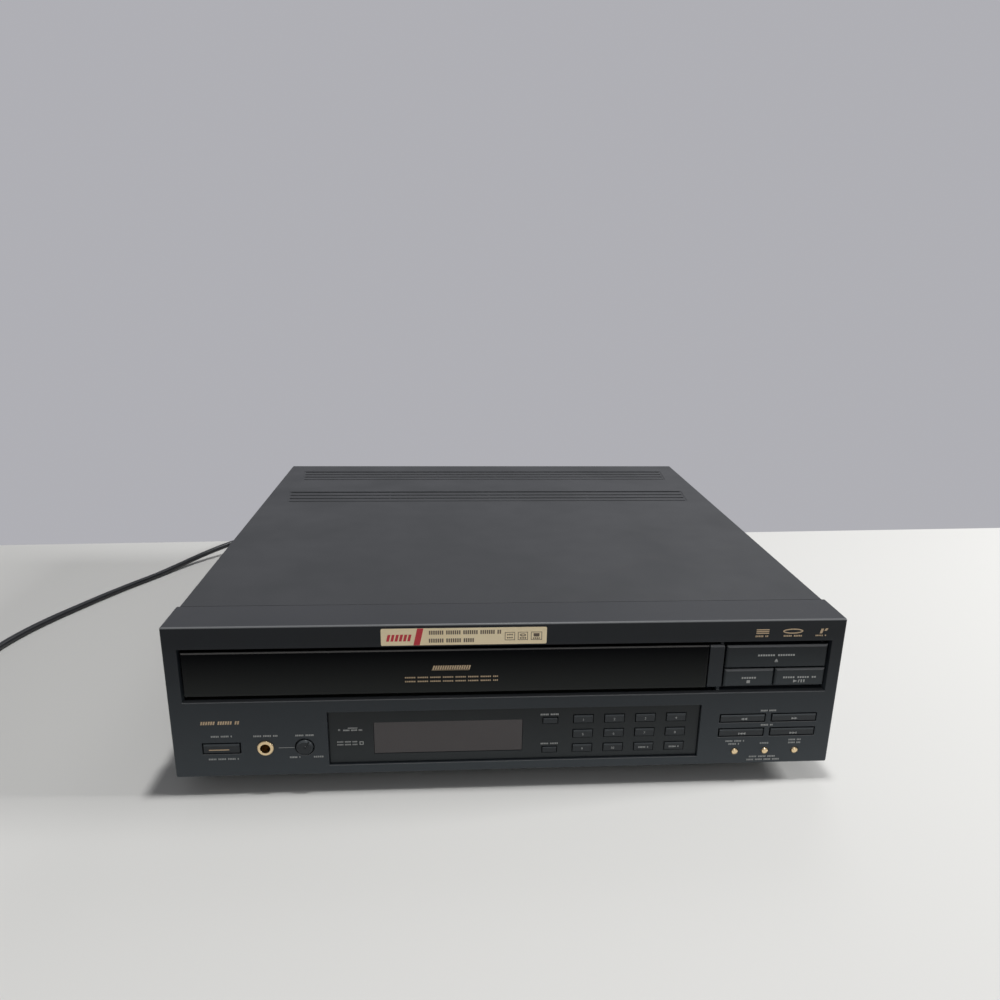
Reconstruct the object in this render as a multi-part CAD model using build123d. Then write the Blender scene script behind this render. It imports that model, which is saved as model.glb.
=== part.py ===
from build123d import *
import math
import os

# A full-size laserdisc player with a loading tray, in millimetres.
# X runs to the right as seen from the front, Y to the back and Z up. The origin is on the
# surface that the player stands on, under the middle of its case. In the tables below a
# "depth" is counted back from the face of the front panel, and a "height" up from the
# lower edge of that panel.

# Case
WIDTH = 420.0
LEFT = -WIDTH / 2
RIGHT = WIDTH / 2
PANEL_HEIGHT = 103.1
BODY_DEPTH = 398.0
FOOT_GAP = 13.0
KNOB_REACH = 1.5
JACK_REACH = 9.0
SHEET = 1.0
BONNET_STEP = 1.5
BONNET_BEND = 2.0
BONNET_SKIRT = 1.0
REAR_LIP = 11.0
SEAM = 0.4

# Fits
SEAT = 0.3
SHEET_FIT = 0.2
RUNNING = 0.1
SLIDING = 0.3

# Front panel
CAP_DEPTH = 30.0
PANEL_WALL = 3.0
CAP_WALL = 2.5
PANEL_EDGE = 1.2
TONGUE_DEPTH = 8.0
TONGUE_THICK = 2.0
TRAY_RECESS_X = (LEFT + 8.5, RIGHT - 8.0)
TRAY_RECESS_H = (52.5, 88.5)
RECESS_SIDE_BEVEL = 1.0
RECESS_LOWER_LIP = 0.8
RECESS_UPPER_LIP = 1.2
BAR_X = (RIGHT - 85.7, RIGHT - 76.6)
BAR_STEP = 0.4
BAR_EDGE = 1.0
WELL_FLOOR_DEPTH = 7.0
WELL_WALL = 2.0
BOSS_RADIUS = 3.0
BOSS_PLACES = [
    (LEFT + 8.0, 8.0), (LEFT + 8.0, 44.0), (RIGHT - 81.6, 6.5), (RIGHT - 81.6, 49.0),
    (RIGHT - 6.4, 8.0), (RIGHT - 6.4, 46.0),
]

# Display panel, set back in the front panel
DISPLAY_X = (LEFT + 95.2, RIGHT - 87.8)
DISPLAY_H = (6.5, 44.3)
DISPLAY_STEP = 1.6
DISPLAY_GAP = 0.7
DISPLAY_LIP = 2.6
DISPLAY_LIP_THICK = 2.0
WINDOW_X = (LEFT + 123.5, RIGHT - 202.4)
WINDOW_H = (13.0, 35.5)
WINDOW_STEP = 0.3
WINDOW_LIP = 2.0
WINDOW_LIP_THICK = 1.0

# Keys: all sizes are of the opening, and the key is smaller all round by its gap
KEY_GAP = 0.5
WIDE_KEY_GAP = 0.9
KEY_TRAVEL = 1.0
KEY_FLANGE = 0.8
KEY_FLANGE_THICK = 1.0
KEY_RIDGE = 0.55
KEY_STAND = 0.7
STEM_RADIUS = 1.5
STEM_END_DEPTH = 10.1
NUMBER_KEY = (13.2, 6.3)
NUMBER_FIRST_X = RIGHT - 163.6
NUMBER_TOP_H = 35.1
NUMBER_PITCH_X = 20.05
NUMBER_PITCH_H = 10.55
NUMBER_COLUMNS = 4
NUMBER_ROWS = 3
DISPLAY_KEY = (10.0, 4.9)
DISPLAY_KEY_X = RIGHT - 184.8
DISPLAY_KEY_HEIGHTS = (34.4, 13.3)
SEARCH_KEY = (30.5, 6.5)
SEARCH_KEY_X = (RIGHT - 60.1, RIGHT - 26.2)
SEARCH_KEY_HEIGHTS = (34.0, 23.6)
POWER_KEY = (23.7, 8.0)
POWER_KEY_X = LEFT + 29.65
POWER_KEY_H = 20.4
ROUND_KEY_RADIUS = 2.5
ROUND_KEY_X = (RIGHT - 63.0, RIGHT - 42.8, RIGHT - 22.8)
ROUND_KEY_H = 9.5
ROUND_KEY_STAND = 1.3
DECK_KEY_X = (RIGHT - 75.5, RIGHT - 9.3)
DECK_KEY_SPLIT_X = RIGHT - 42.5
DECK_KEY_H = (56.2, 85.8)
DECK_KEY_SPLIT_H = 69.3
DECK_KEY_STEP = 0.4
DECK_KEY_THICK = 3.2
DECK_KEY_EDGE = 1.0
DECK_POST_RADIUS = 2.0
DECK_POST_HEAD = 0.8

# Level knob and headphone socket
KNOB_X = LEFT + 80.6
KNOB_H = 20.1
KNOB_RADIUS = 5.35
KNOB_GAP = 0.7
KNOB_LENGTH = 6.8
KNOB_CROWN = 0.6
KNOB_TURN = 36.0
KNOB_NOTCH = (1.2, 0.6)
KNOB_SHAFT_RADIUS = 3.0
KNOB_SHAFT_INSET = 3.0
LEVEL_CONTROL = 13.0
LEVEL_CONTROL_DEPTH = 7.5
PHONES_X = LEFT + 56.5
PHONES_H = 20.2
PHONES_BORE_RADIUS = 3.2
PHONES_BUSH_RADIUS = 4.1
PHONES_RING_RADIUS = 5.0
PHONES_RING_STAND = 1.2
PHONES_BODY = 14.0
PHONES_BODY_END = 27.0

# Boards
BOARD_THICK = 1.6
FRONT_BOARD_DEPTH = 14.0
FRONT_BOARD_X = (LEFT + 4.0, RIGHT - 4.0)
FRONT_BOARD_H = (3.2, 52.0)
KEY_BOARD_X = (RIGHT - 80.0, RIGHT - 4.0)
KEY_BOARD_TOP = 92.0
SWITCH_SIZE = 6.0
SWITCH_BODY = 2.1
SWITCH_PLUNGER = 0.5
TUBE_MARGIN = 4.0
TUBE_THICK = 7.0
MAIN_BOARD_X = (LEFT + 110.0, RIGHT - 11.0)
MAIN_BOARD_DEPTHS = (50.0, 386.0)
MAIN_BOARD_H = 9.0
STAND_OFF_RADIUS = 3.0
STAND_OFF_INSET = (8.0, 10.0)
LEG_CLEARANCE = 1.5

# What stands on the main board, from its left or right edge and its front or rear edge
CHIP_SIZE = (16.0, 24.0, 3.0)
CHIP_FIRST = (25.0, 40.0)
CHIP_PITCH = (38.0, 80.0)
CHIP_COLUMNS = 4
CHIP_ROWS = 3
CAPACITOR_RADIUS = 8.0
CAPACITOR_HEIGHTS = (26.0, 28.0, 30.0)
CAPACITOR_PLACES = [(49.0, 86.0), (24.0, 86.0), (49.0, 51.0), (24.0, 51.0), (9.0, 116.0), (49.0, 121.0)]
SINK_X_INSET = (61.0, 7.0)
SINK_DEPTHS = (175.0, 235.0)
SINK_BASE = 4.0
SINK_HEIGHT = 44.0
FIN_COUNT = 9
FIN_THICK = 1.5
FIN_INSET = 3.0
SUPPLY_INSET = (63.0, 3.0)
SUPPLY_DEPTHS = (75.0, 165.0)
SUPPLY_HEIGHT = 12.0

# Chassis, feet and rear panel
PAN_RAISE = 1.5
PAN_SIDE_HEIGHT = 20.0
PAN_FRONT_HEIGHT = 47.0
PAN_REAR_HEIGHT = 16.0
PAN_RIB = 0.8
PAN_RIB_DEPTHS = (110.0, 240.0)
PAN_RIB_WIDTH = 8.0
PAN_RIB_MARGIN = 30.0
PAN_SLOT = (3.0, 46.0)
PAN_SLOT_PITCH = 12.0
PAN_SLOT_COUNT = 14
PAN_SLOT_DEPTH = 175.0
FOOT_X = RIGHT - 48.0
FOOT_DEPTHS = (58.0, 352.0)
FOOT_RADIUS = 24.0
FOOT_TAPER = 3.0
FOOT_FLANGE = 3.0
PAD_RADIUS = 16.0
PAD_THICK = 3.5
PAD_STAND = 1.0
REAR_SLOT = (3.0, 26.0)
REAR_SLOT_PITCH = 9.0
REAR_SLOT_COUNT = 10
REAR_SLOT_ROWS = (45.0, 80.0)
REAR_SLOT_FIRST_X = LEFT + 100.0

# Bonnet vents: pressed panels across the top, each with long grooves pierced by slots.
# The grooves get longer towards the back
VENT_X = (LEFT + 23.7, RIGHT - 24.9)
VENT_MIDDLE_DEPTHS = (278.5, 357.0)
VENT_PRESS = 0.3
VENT_SPREAD = 3.4
VENT_END = 1.6
GROOVE_COUNT = 4
GROOVE_PITCH = 10.2
GROOVE_WIDTH = 3.4
SLOT_WIDTH = 2.2
SLOT_BRIDGE = 1.6
SLOTS_PER_GROOVE = 4

# Screws
SCREW_HEAD_RADIUS = 4.0
SCREW_HEAD_THICK = 2.2
SCREW_RADIUS = 1.9
SCREW_LENGTH = 7.0
SIDE_SCREW_DEPTHS = (88.0, 330.0)
SIDE_SCREW_H = 12.0
REAR_SCREW_X = (LEFT + 40.0, 0.0, RIGHT - 40.0)

# Rear sockets
JACK_PLATE_X = (RIGHT - 176.0, RIGHT - 68.0)
JACK_PLATE_H = (20.0, 58.0)
JACK_PLATE_THICK = 2.0
JACK_FIRST_X = RIGHT - 162.0
JACK_PITCH_X = 20.0
JACK_HEIGHTS = (30.0, 48.0)
JACK_COLUMNS = 4
JACK_SHELL_RADIUS = 4.15
JACK_HOLE_RADIUS = 1.6
JACK_COLLAR_RADIUS = 5.6
JACK_COLLAR_THICK = 2.5
OPTICAL_X = RIGHT - 82.0
OPTICAL_SIZE = 10.0
OPTICAL_WALL = 2.0
OPTICAL_DEEP = 4.0
MINI_JACK_RADIUS = 3.2
MINI_JACK_BORE = 1.75
MINI_JACK_DEEP = 10.0
JACK_BODY_DEPTH = 11.0

# Transformer
TRANSFORMER_X = (LEFT + 15.0, LEFT + 75.0)
TRANSFORMER_DEPTHS = (284.0, 344.0)
CORE_HEIGHT = 36.0
CORE_WALL = 11.0
BOBBIN_STAND = 5.0

# Mechanism deck: it fills the case from its left side to the column of keys on its right
DECK_MARGIN = 8.7
KEY_COLUMN = 84.7
DECK_HALF = (WIDTH - DECK_MARGIN - KEY_COLUMN) / 2
SPINDLE_X = LEFT + DECK_MARGIN + DECK_HALF
SPINDLE_DEPTH = 172.0
DECK_DEPTHS = (36.0, 384.0)
DECK_H = 52.0
DECK_THICK = 2.0
DECK_HOLE_HALF = 66.0
DECK_HOLE_DEPTHS = (118.0, 364.0)
DECK_VENT_INSET = (18.0, 25.3)
DECK_VENT_STARTS = (150.0, 245.0)
DECK_VENT_LENGTH = 70.0
LEG_RADIUS = 6.0
LEG_HALF = DECK_HALF - 13.3
LEG_DEPTHS = (50.0, 373.0)
RAIL_TOP = 74.0
RAIL_GROOVE_DEPTH = 3.3

# Disc tray
RAIL_WALL = 5.8
TRAY_HALF = DECK_HALF - RAIL_WALL
TRAY_DEPTHS = (4.0, 360.0)
TRAY_TOP = 80.0
TRAY_BOTTOM = 66.0
TRAY_WALL = 2.5
TRAY_FLOOR = 2.0
TRAY_TRAVEL = 280.0
RUNNER_OUT = 3.0
RUNNER_HEIGHT = 4.0
RUNNER_START_DEPTH = 22.0
RUNNER_END = 6.0
TRAY_RIM = 5.5
LARGE_RECESS_RADIUS = TRAY_HALF - TRAY_RIM
LARGE_RECESS_DEEP = 5.0
SMALL_RECESS_RADIUS = 61.5
SMALL_RECESS_DEEP = 9.0
DISC_SLOT_HALF = 32.0
DISC_SLOT_START = 27.0
FINGER_RADIUS = 17.0
TRAY_REAR_NOTCH_HALF = 62.0
TRAY_CORNER = 6.0
TRAY_RIB = 2.0
TRAY_RIB_DEPTHS = (60.0, 110.0, 235.0, 285.0)
TRAY_RIB_END = 22.0
TRAY_LONG_RIB = 10.0
TRAY_FRONT_X = (LEFT + 10.3, RIGHT - 86.4)
TRAY_FRONT_H = (56.4, 86.0)
TRAY_FRONT_STEP = 0.2
TRAY_FRONT_EDGE = 1.0
TRAY_CLIP = (16.0, 5.0)
TRAY_CLIP_INSET = 25.5

# Loading drive: the rack under the tray, its pinion and the belt
GEAR_MODULE = 1.5
PINION_TEETH = 16
GEAR_BACKLASH = 0.35
TOOTH_SLOPE = 20.0
PINION_X = SPINDLE_X - TRAY_HALF + 21.0
PINION_DEPTH = 60.0
PINION_POST_RADIUS = 2.0
RACK_GAP = 1.5
RACK_SINK = 1.0
RACK_BACK = 3.2
RACK_DEPTHS = (48.0, 349.0)
PULLEY_RADIUS = 15.0
PULLEY_GROOVE_RADIUS = 13.3
PULLEY_GAP = 0.5
PULLEY_FLANGE = 1.8
MOTOR_PULLEY_RADIUS = 5.2
MOTOR_PULLEY_GROOVE_RADIUS = 3.4
MOTOR_PULLEY_FLANGE = 1.2
BELT_THICK = 1.4
BELT_WIDTH = 2.0
BELT_CLEARANCE = 0.1
LOADING_MOTOR_X = PINION_X + 36.5
LOADING_MOTOR_DEPTH = 62.0
LOADING_MOTOR_RADIUS = 12.0
LOADING_MOTOR_HEIGHT = 22.0
MOTOR_SHAFT_RADIUS = 1.0
MOTOR_NOSE_RADIUS = 3.0

# Spindle lift and motor
FLOAT_HALF = 60.0
FLOAT_DEPTHS = (126.0, 358.0)
FLOAT_H = 36.0
FLOAT_THICK = 2.0
FLOAT_FLANGE = 4.0
FLOAT_OPENING_INSET = 18.0
FLOAT_LIFT = 10.0
LIFT_PIN_RADIUS = 2.5
LIFT_PIN_HALF = 70.0
LIFT_PIN_DEPTHS = (142.0, 330.0)
LIFT_BUSH_RADIUS = 5.0
LIFT_BUSH_H = (34.0, 40.0)
LIFT_HEAD_THICK = 2.0
SPINDLE_MOTOR_RADIUS = 18.0
SPINDLE_MOTOR_H = (38.0, 54.0)
SPINDLE_NOSE_RADIUS = 5.0
SPINDLE_SHAFT_RADIUS = 2.0
TURNTABLE_RADIUS = 20.0
TURNTABLE_TOP = 70.0
TURNTABLE_THICK = 2.5
TURNTABLE_HUB_RADIUS = 8.0
LARGE_CONE = (17.4, 16.4, 3.0)
SMALL_CONE = (7.4, 5.6, 4.0)

# Clamper over the spindle, on a hinged arm
CLAMPER_RADIUS = 31.0
CLAMPER_H = (83.0, 86.5)
CLAMPER_NECK_RADIUS = 15.0
CLAMPER_CAP_RADIUS = 20.0
CLAMPER_TOP = 94.0
CLAMPER_CAP_THICK = 2.0
CLAMPER_RECESS = (19.0, 2.4)
CLAMPER_SOCKET = (9.0, 7.0)
ARM_THICK = 1.5
ARM_REAR_HALF = 52.0
ARM_NECK_GAP = 0.75
ARM_HEAD_RADIUS = 38.0
ARM_RIB = 3.0
ARM_HOLES = (75.0, 130.0)
ARM_PIVOT_DEPTH = 377.0
ARM_PIVOT_H = 93.0
ARM_PIN_RADIUS = 2.0
ARM_POST_THICK = 4.0

# Tilting pickup frame, its carriage and feed screw
TILT_HALF = 52.0
TILT_RAIL = 5.0
TILT_DEPTHS = (191.2, 354.5)
TILT_H = (43.2, 50.0)
TILT_CROSS = 4.0
TILT_PIVOT_DEPTH = 193.2
TILT_PIVOT_H = 46.6
TILT_PIN_RADIUS = 1.6
TILT_PIN_REACH = 6.0
TILT_EAR_THICK = 2.5
ROD_HALF = 30.0
ROD_RADIUS = 3.0
SIDE_ROD_RADIUS = 2.5
ROD_H = 51.0
ROD_EAR_TOP = 56.0
LENS_START = 27.0
CARRIAGE_TRAVEL = 120.0
CARRIAGE_HALF = 36.0
CARRIAGE_LENGTH = 30.0
CARRIAGE_LEAD = 2.0
SCREW_NUT = (6.0, 16.0)
CARRIAGE_H = (45.5, 56.0)
NOSE_HALF = 15.0
NOSE_REACH = 7.5
NOSE_TOP = 65.0
NOSE_SET_BACK = 4.0
LENS_WELL = 4.0
LENS_RADIUS = 4.0
LENS_HOLDER_RADIUS = 5.5
LENS_STAND = 2.0
LENS_TRAVEL = 0.8
SCREW_OFFSET = 42.0
FEED_SCREW_RADIUS = 2.5
FEED_MOTOR_RADIUS = 7.5
FEED_MOTOR_LENGTH = 17.0

# Mains cord: the points of its routes are given as X, depth and height above the floor
CORD_DIAMETER = 5.8
CORD_X = LEFT + 45.0
CORD_H = 25.0
GLAND_FLANGE_RADIUS = 8.0
GLAND_FLANGE_THICK = 3.0
GLAND_NECK_RADIUS = 5.0
GLAND_SLEEVE = (6.4, 3.9, 25.0)
GLAND_RIBS = 4
FLOOR_CORD_Z = CORD_DIAMETER / 2 + 0.1
CORD_LEAD = 14.0
CORD_ROUTE = [
    (-170, 453, 36.6), (-185, 465, 33.2), (-206, 471, 28.6), (-230, 470, 23.9), (-255, 462, 19.4),
    (-279, 450, 15.2), (-302, 434, 11.2), (-322, 414, 7.2), (-339, 390, 4.2), (-354, 364, 3.0),
    (-370, 339, 3.0), (-385, 312, 3.0), (-399, 284, 3.0), (-412, 257, 3.0), (-422, 230, 3.0),
    (-429, 202, 3.0), (-429, 174.8, 3.0),
]
TAIL_ROUTE = [
    (-429, 163.2, 9.4), (-429, 152, 9.0), (-426, 140, 6.6), (-419, 128, 4.8), (-413, 116, 5.2),
    (-410, 104, 7.4), (-410, 92, 9.4), (-410, 81, 9.4),
]
COIL_CENTRE = (-472.0, 169.0)
COIL_RADIUS = 43.0
COIL_PITCH = 6.6
COIL_TURNS = 6
COIL_LAYER = 6.4
PLUG_WIDTH = 26.0
PLUG_LENGTH = 34.0
PLUG_NOSE = (5.4, 14.0)
BLADE = (6.3, 1.5, 16.0)
BLADE_GAP = 12.7

# The origin lies under the middle of the case, with its knob and sockets
FRONT_Y = (KNOB_REACH - BODY_DEPTH - JACK_REACH) / 2
SPINDLE_Y = FRONT_Y + SPINDLE_DEPTH
BONNET_HALF = WIDTH / 2 - BONNET_STEP
PAN_HALF = BONNET_HALF - SHEET - SHEET_FIT
REAR_PLATE_DEPTHS = (BODY_DEPTH - 2 * SHEET, BODY_DEPTH - SHEET)
KEY_FLANGE_BACK = PANEL_WALL + SEAT + KEY_FLANGE_THICK
DISPLAY_BACK = PANEL_WALL + DISPLAY_LIP_THICK
PAN_FLOOR_H = PAN_RAISE + SHEET
PULLEY_LOW = DECK_H + DECK_THICK + PULLEY_GAP
PULLEY_H = (PULLEY_LOW, PULLEY_LOW + BELT_WIDTH + 2 * (SHEET_FIT + PULLEY_FLANGE))
BELT_LOW = PULLEY_LOW + PULLEY_FLANGE + SHEET_FIT
BELT_H = (BELT_LOW, BELT_LOW + BELT_WIDTH)
RACK_H = (PULLEY_H[1] + RACK_GAP, TRAY_BOTTOM + RACK_SINK)


def depths(near, far):
    """The Y span between two depths behind the front panel's face."""
    return (FRONT_Y + near, FRONT_Y + far)


def heights(low, high):
    """The Z span between two heights above the front panel's lower edge."""
    return (FOOT_GAP + low, FOOT_GAP + high)


def grown(span, by):
    """A span made longer by the same amount at both ends."""
    return (span[0] - by, span[1] + by)


def around(middle, size):
    """The span of a size round its middle."""
    return (middle - size / 2, middle + size / 2)


def block(x, y, z):
    """A block between three spans."""
    spans = (x, y, z)
    centre = [(low + high) / 2 for low, high in spans]
    return Pos(*centre) * Box(*[high - low for low, high in spans])


def disc_x(x, y, z, radius):
    """A cylinder along X over the span x."""
    return Pos((x[0] + x[1]) / 2, y, z) * Rot(0, 90, 0) * Cylinder(radius, x[1] - x[0])


def disc_y(x, y, z, radius):
    """A cylinder along Y over the span y."""
    return Pos(x, (y[0] + y[1]) / 2, z) * Rot(90, 0, 0) * Cylinder(radius, y[1] - y[0])


def disc_z(x, y, z, radius):
    """A cylinder along Z over the span z."""
    return Pos(x, y, (z[0] + z[1]) / 2) * Cylinder(radius, z[1] - z[0])


def turned(profile, x, y):
    """A solid turned about the upright line through x, y from (radius, z) points."""
    outline = make_face(Polyline(*[(radius, 0, z) for radius, z in profile], close=True))
    return Pos(x, y, 0) * revolve(outline, Axis.Z)


def turned_y(profile, x, z):
    """A solid turned about the level line through x, z from (radius, y) points."""
    outline = make_face(Polyline(*[(radius, y, 0) for radius, y in profile], close=True))
    return Pos(x, 0, z) * revolve(outline, Axis.Y)


def upright(points, z):
    """A flat outline of (x, y) points raised over the span z."""
    outline = make_face(Polyline(*[(x, y, z[0]) for x, y in points], close=True))
    return extrude(outline, z[1] - z[0], dir=(0, 0, 1))


def frame_face(x, z, y):
    """An upright rectangle that faces the front, at one y."""
    corners = [(x[0], y, z[0]), (x[1], y, z[0]), (x[1], y, z[1]), (x[0], y, z[1])]
    return make_face(Polyline(*corners, close=True))


# Keys and what presses on the front board

def number_key_places():
    """The (x, height) of each number key, left to right and from the top row down."""
    return [
        (NUMBER_FIRST_X + column * NUMBER_PITCH_X, NUMBER_TOP_H - row * NUMBER_PITCH_H)
        for row in range(NUMBER_ROWS)
        for column in range(NUMBER_COLUMNS)
    ]


def panel_keys():
    """Name, place and opening of each key in the display panel."""
    keys = {
        f"number_key_{index + 1:02d}": (x, height, *NUMBER_KEY)
        for index, (x, height) in enumerate(number_key_places())
    }
    for name, height in zip(("upper_display_key", "lower_display_key"), DISPLAY_KEY_HEIGHTS):
        keys[name] = (DISPLAY_KEY_X, height, *DISPLAY_KEY)
    return keys


def fascia_keys():
    """Name, place and opening of each flat key in the front panel itself."""
    names = (("scan_back_key", "scan_forward_key"), ("skip_back_key", "skip_forward_key"))
    keys = {
        name: (x, height, *SEARCH_KEY)
        for row, height in zip(names, SEARCH_KEY_HEIGHTS)
        for name, x in zip(row, SEARCH_KEY_X)
    }
    keys["power_key"] = (POWER_KEY_X, POWER_KEY_H, *POWER_KEY)
    return keys


def deck_keys():
    """Name and outline, as X and height spans, of the keys beside the tray."""
    low, high = DECK_KEY_H
    left, right = DECK_KEY_X
    return {
        "open_close_key": ((left, right), (DECK_KEY_SPLIT_H, high)),
        "stop_key": ((left, DECK_KEY_SPLIT_X), (low, DECK_KEY_SPLIT_H)),
        "play_key": ((DECK_KEY_SPLIT_X, right), (low, DECK_KEY_SPLIT_H)),
    }


def deck_posts(x):
    """Where the guide posts of a key beside the tray stand, along its width."""
    quarter = (x[1] - x[0]) / 4
    return (x[0] + quarter, x[1] - quarter)


def switch_places():
    """The (x, height) of every key's switch on the front board."""
    places = [(x, height) for x, height, *_ in panel_keys().values()]
    places += [(x, height) for x, height, *_ in fascia_keys().values()]
    places += [(x, ROUND_KEY_H) for x in ROUND_KEY_X]
    places += [(sum(x) / 2, sum(height) / 2) for x, height in deck_keys().values()]
    return places


def flat_key(place, face_depth, wall_back, gap):
    """A key with a ridge near its top, a flange behind the wall and a stem to its switch."""
    x, height, width, tall = place
    half = tall / 2 - gap
    ridge = half * KEY_RIDGE
    front = FRONT_Y + face_depth
    back = FRONT_Y + wall_back
    middle = FOOT_GAP + height
    left = x - width / 2 + gap
    profile = [
        (front + 0.5 * KEY_STAND, -half), (front + 0.3 * KEY_STAND, ridge - 0.5 * KEY_STAND),
        (front, ridge), (front, ridge + 0.4 * KEY_STAND), (front + 0.6 * KEY_STAND, half),
        (back + SEAT, half), (back + SEAT, -half),
    ]
    outline = make_face(Polyline(*[(left, y, middle + z) for y, z in profile], close=True))
    key = extrude(outline, width - 2 * gap, dir=(1, 0, 0))
    flange_y = (back + SEAT, back + SEAT + KEY_FLANGE_THICK)
    flange_z = around(middle, tall + 2 * KEY_FLANGE)
    key += block(around(x, width + 2 * KEY_FLANGE), flange_y, flange_z)
    return key + disc_y(x, (flange_y[1], FRONT_Y + STEM_END_DEPTH), middle, STEM_RADIUS)


def round_key(x):
    """A turned brass-coloured push key with a domed end."""
    radius = ROUND_KEY_RADIUS - KEY_GAP / 2
    wall_back = FRONT_Y + PANEL_WALL + SEAT
    face = FRONT_Y - ROUND_KEY_STAND
    profile = [
        (0, face), (0.5 * radius, face + 0.08 * radius), (0.85 * radius, face + 0.3 * radius),
        (radius, face + 0.65 * radius), (radius, wall_back), (radius + KEY_FLANGE, wall_back),
        (radius + KEY_FLANGE, wall_back + KEY_FLANGE_THICK), (STEM_RADIUS, wall_back + KEY_FLANGE_THICK),
        (STEM_RADIUS, FRONT_Y + STEM_END_DEPTH), (0, FRONT_Y + STEM_END_DEPTH),
    ]
    return turned_y(profile, x, FOOT_GAP + ROUND_KEY_H)


def deck_key(x, height):
    """A wide key beside the tray, on guide posts with snap heads."""
    face = (grown(x, -KEY_GAP), heights(*grown(height, -KEY_GAP)))
    back_depth = DECK_KEY_STEP + DECK_KEY_THICK
    key = block(face[0], depths(DECK_KEY_STEP, back_depth), face[1])
    key = chamfer(key.faces().sort_by(Axis.Y)[0].edges(), DECK_KEY_EDGE)
    middle = FOOT_GAP + sum(height) / 2
    head = depths(STEM_END_DEPTH - DECK_POST_HEAD, STEM_END_DEPTH)
    for post_x in deck_posts(x):
        key += disc_y(post_x, depths(back_depth, STEM_END_DEPTH), middle, DECK_POST_RADIUS)
        key += disc_y(post_x, head, middle, DECK_POST_RADIUS + KEY_FLANGE)
    bridge_z = around(middle, 2 * DECK_POST_RADIUS)
    return key + block(deck_posts(x), head, bridge_z)


# Front panel and what is mounted on it

def front_fascia():
    """The moulded front panel with its cap, openings, key well and bosses."""
    half = WIDTH / 2
    top = PANEL_HEIGHT - CAP_WALL
    panel = block((-half, half), depths(0, CAP_DEPTH), heights(0, PANEL_HEIGHT))
    panel = fillet(panel.edges().filter_by(Axis.Y), PANEL_EDGE)
    panel = fillet(panel.faces().sort_by(Axis.Y)[0].edges(), PANEL_EDGE)
    inside = half - CAP_WALL
    panel -= block((-inside, inside), depths(PANEL_WALL, CAP_DEPTH + 1), heights(CAP_WALL, top))
    tongue_top = PANEL_HEIGHT - SHEET - SHEET_FIT
    tongue_y = depths(CAP_DEPTH - TONGUE_DEPTH, CAP_DEPTH + TONGUE_DEPTH)
    tongue_z = heights(tongue_top - TONGUE_THICK, tongue_top)
    panel += block(grown((-inside, inside), -CAP_WALL), tongue_y, tongue_z)
    inner_x = grown(TRAY_RECESS_X, -RECESS_SIDE_BEVEL)
    inner_h = (TRAY_RECESS_H[0] + RECESS_LOWER_LIP, TRAY_RECESS_H[1] - RECESS_UPPER_LIP)
    outer = frame_face(TRAY_RECESS_X, heights(*TRAY_RECESS_H), FRONT_Y)
    inner = frame_face(inner_x, heights(*inner_h), FRONT_Y + PANEL_WALL)
    panel -= loft([outer, inner], ruled=True)
    well_back = WELL_FLOOR_DEPTH + WELL_WALL
    well_x = (BAR_X[1] - WELL_WALL, inner_x[1] + WELL_WALL)
    well = block(well_x, depths(PANEL_WALL, well_back), heights(*grown(inner_h, WELL_WALL)))
    well -= block((BAR_X[1], inner_x[1]), depths(PANEL_WALL, WELL_FLOOR_DEPTH), heights(*inner_h))
    panel += well
    bar = block(BAR_X, depths(BAR_STEP, PANEL_WALL), heights(*DECK_KEY_H))
    panel += chamfer(bar.faces().sort_by(Axis.Y)[0].edges().filter_by(Axis.X), BAR_EDGE)
    for x, height in deck_keys().values():
        for post_x in deck_posts(x):
            middle = FOOT_GAP + sum(height) / 2
            hole_y = depths(WELL_FLOOR_DEPTH - 1, well_back + 1)
            panel -= disc_y(post_x, hole_y, middle, DECK_POST_RADIUS + RUNNING)
    through = depths(-1, PANEL_WALL + 1)
    panel -= block(DISPLAY_X, through, heights(*DISPLAY_H))
    for x, height, width, tall in fascia_keys().values():
        panel -= block(around(x, width), through, heights(*around(height, tall)))
    for x in ROUND_KEY_X:
        panel -= disc_y(x, through, FOOT_GAP + ROUND_KEY_H, ROUND_KEY_RADIUS)
    panel -= disc_y(PHONES_X, through, FOOT_GAP + PHONES_H, PHONES_BUSH_RADIUS + RUNNING)
    panel -= disc_y(KNOB_X, through, FOOT_GAP + KNOB_H, KNOB_RADIUS + KNOB_GAP)
    for x, height in BOSS_PLACES:
        panel += disc_y(x, depths(PANEL_WALL, FRONT_BOARD_DEPTH), FOOT_GAP + height, BOSS_RADIUS)
    return panel


def display_panel():
    """The panel set back round the display window and the number keys."""
    fit_x, fit_h = grown(DISPLAY_X, -DISPLAY_GAP), grown(DISPLAY_H, -DISPLAY_GAP)
    panel = block(fit_x, depths(DISPLAY_STEP, DISPLAY_BACK), heights(*fit_h))
    lip_y = depths(PANEL_WALL, DISPLAY_BACK)
    panel += block(grown(DISPLAY_X, DISPLAY_LIP), lip_y, heights(*grown(DISPLAY_H, DISPLAY_LIP)))
    through = depths(0, DISPLAY_BACK + 1)
    panel -= block(WINDOW_X, through, heights(*WINDOW_H))
    for x, height, width, tall in panel_keys().values():
        panel -= block(around(x, width), through, heights(*around(height, tall)))
    return panel


def display_window():
    """The smoked window, with a lip that rests behind its opening."""
    front = DISPLAY_STEP + WINDOW_STEP
    fit_x, fit_h = grown(WINDOW_X, -SHEET_FIT), grown(WINDOW_H, -SHEET_FIT)
    window = block(fit_x, depths(front, DISPLAY_BACK), heights(*fit_h))
    lip_y = depths(DISPLAY_BACK, DISPLAY_BACK + WINDOW_LIP_THICK)
    return window + block(grown(WINDOW_X, WINDOW_LIP), lip_y, heights(*grown(WINDOW_H, WINDOW_LIP)))


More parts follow.
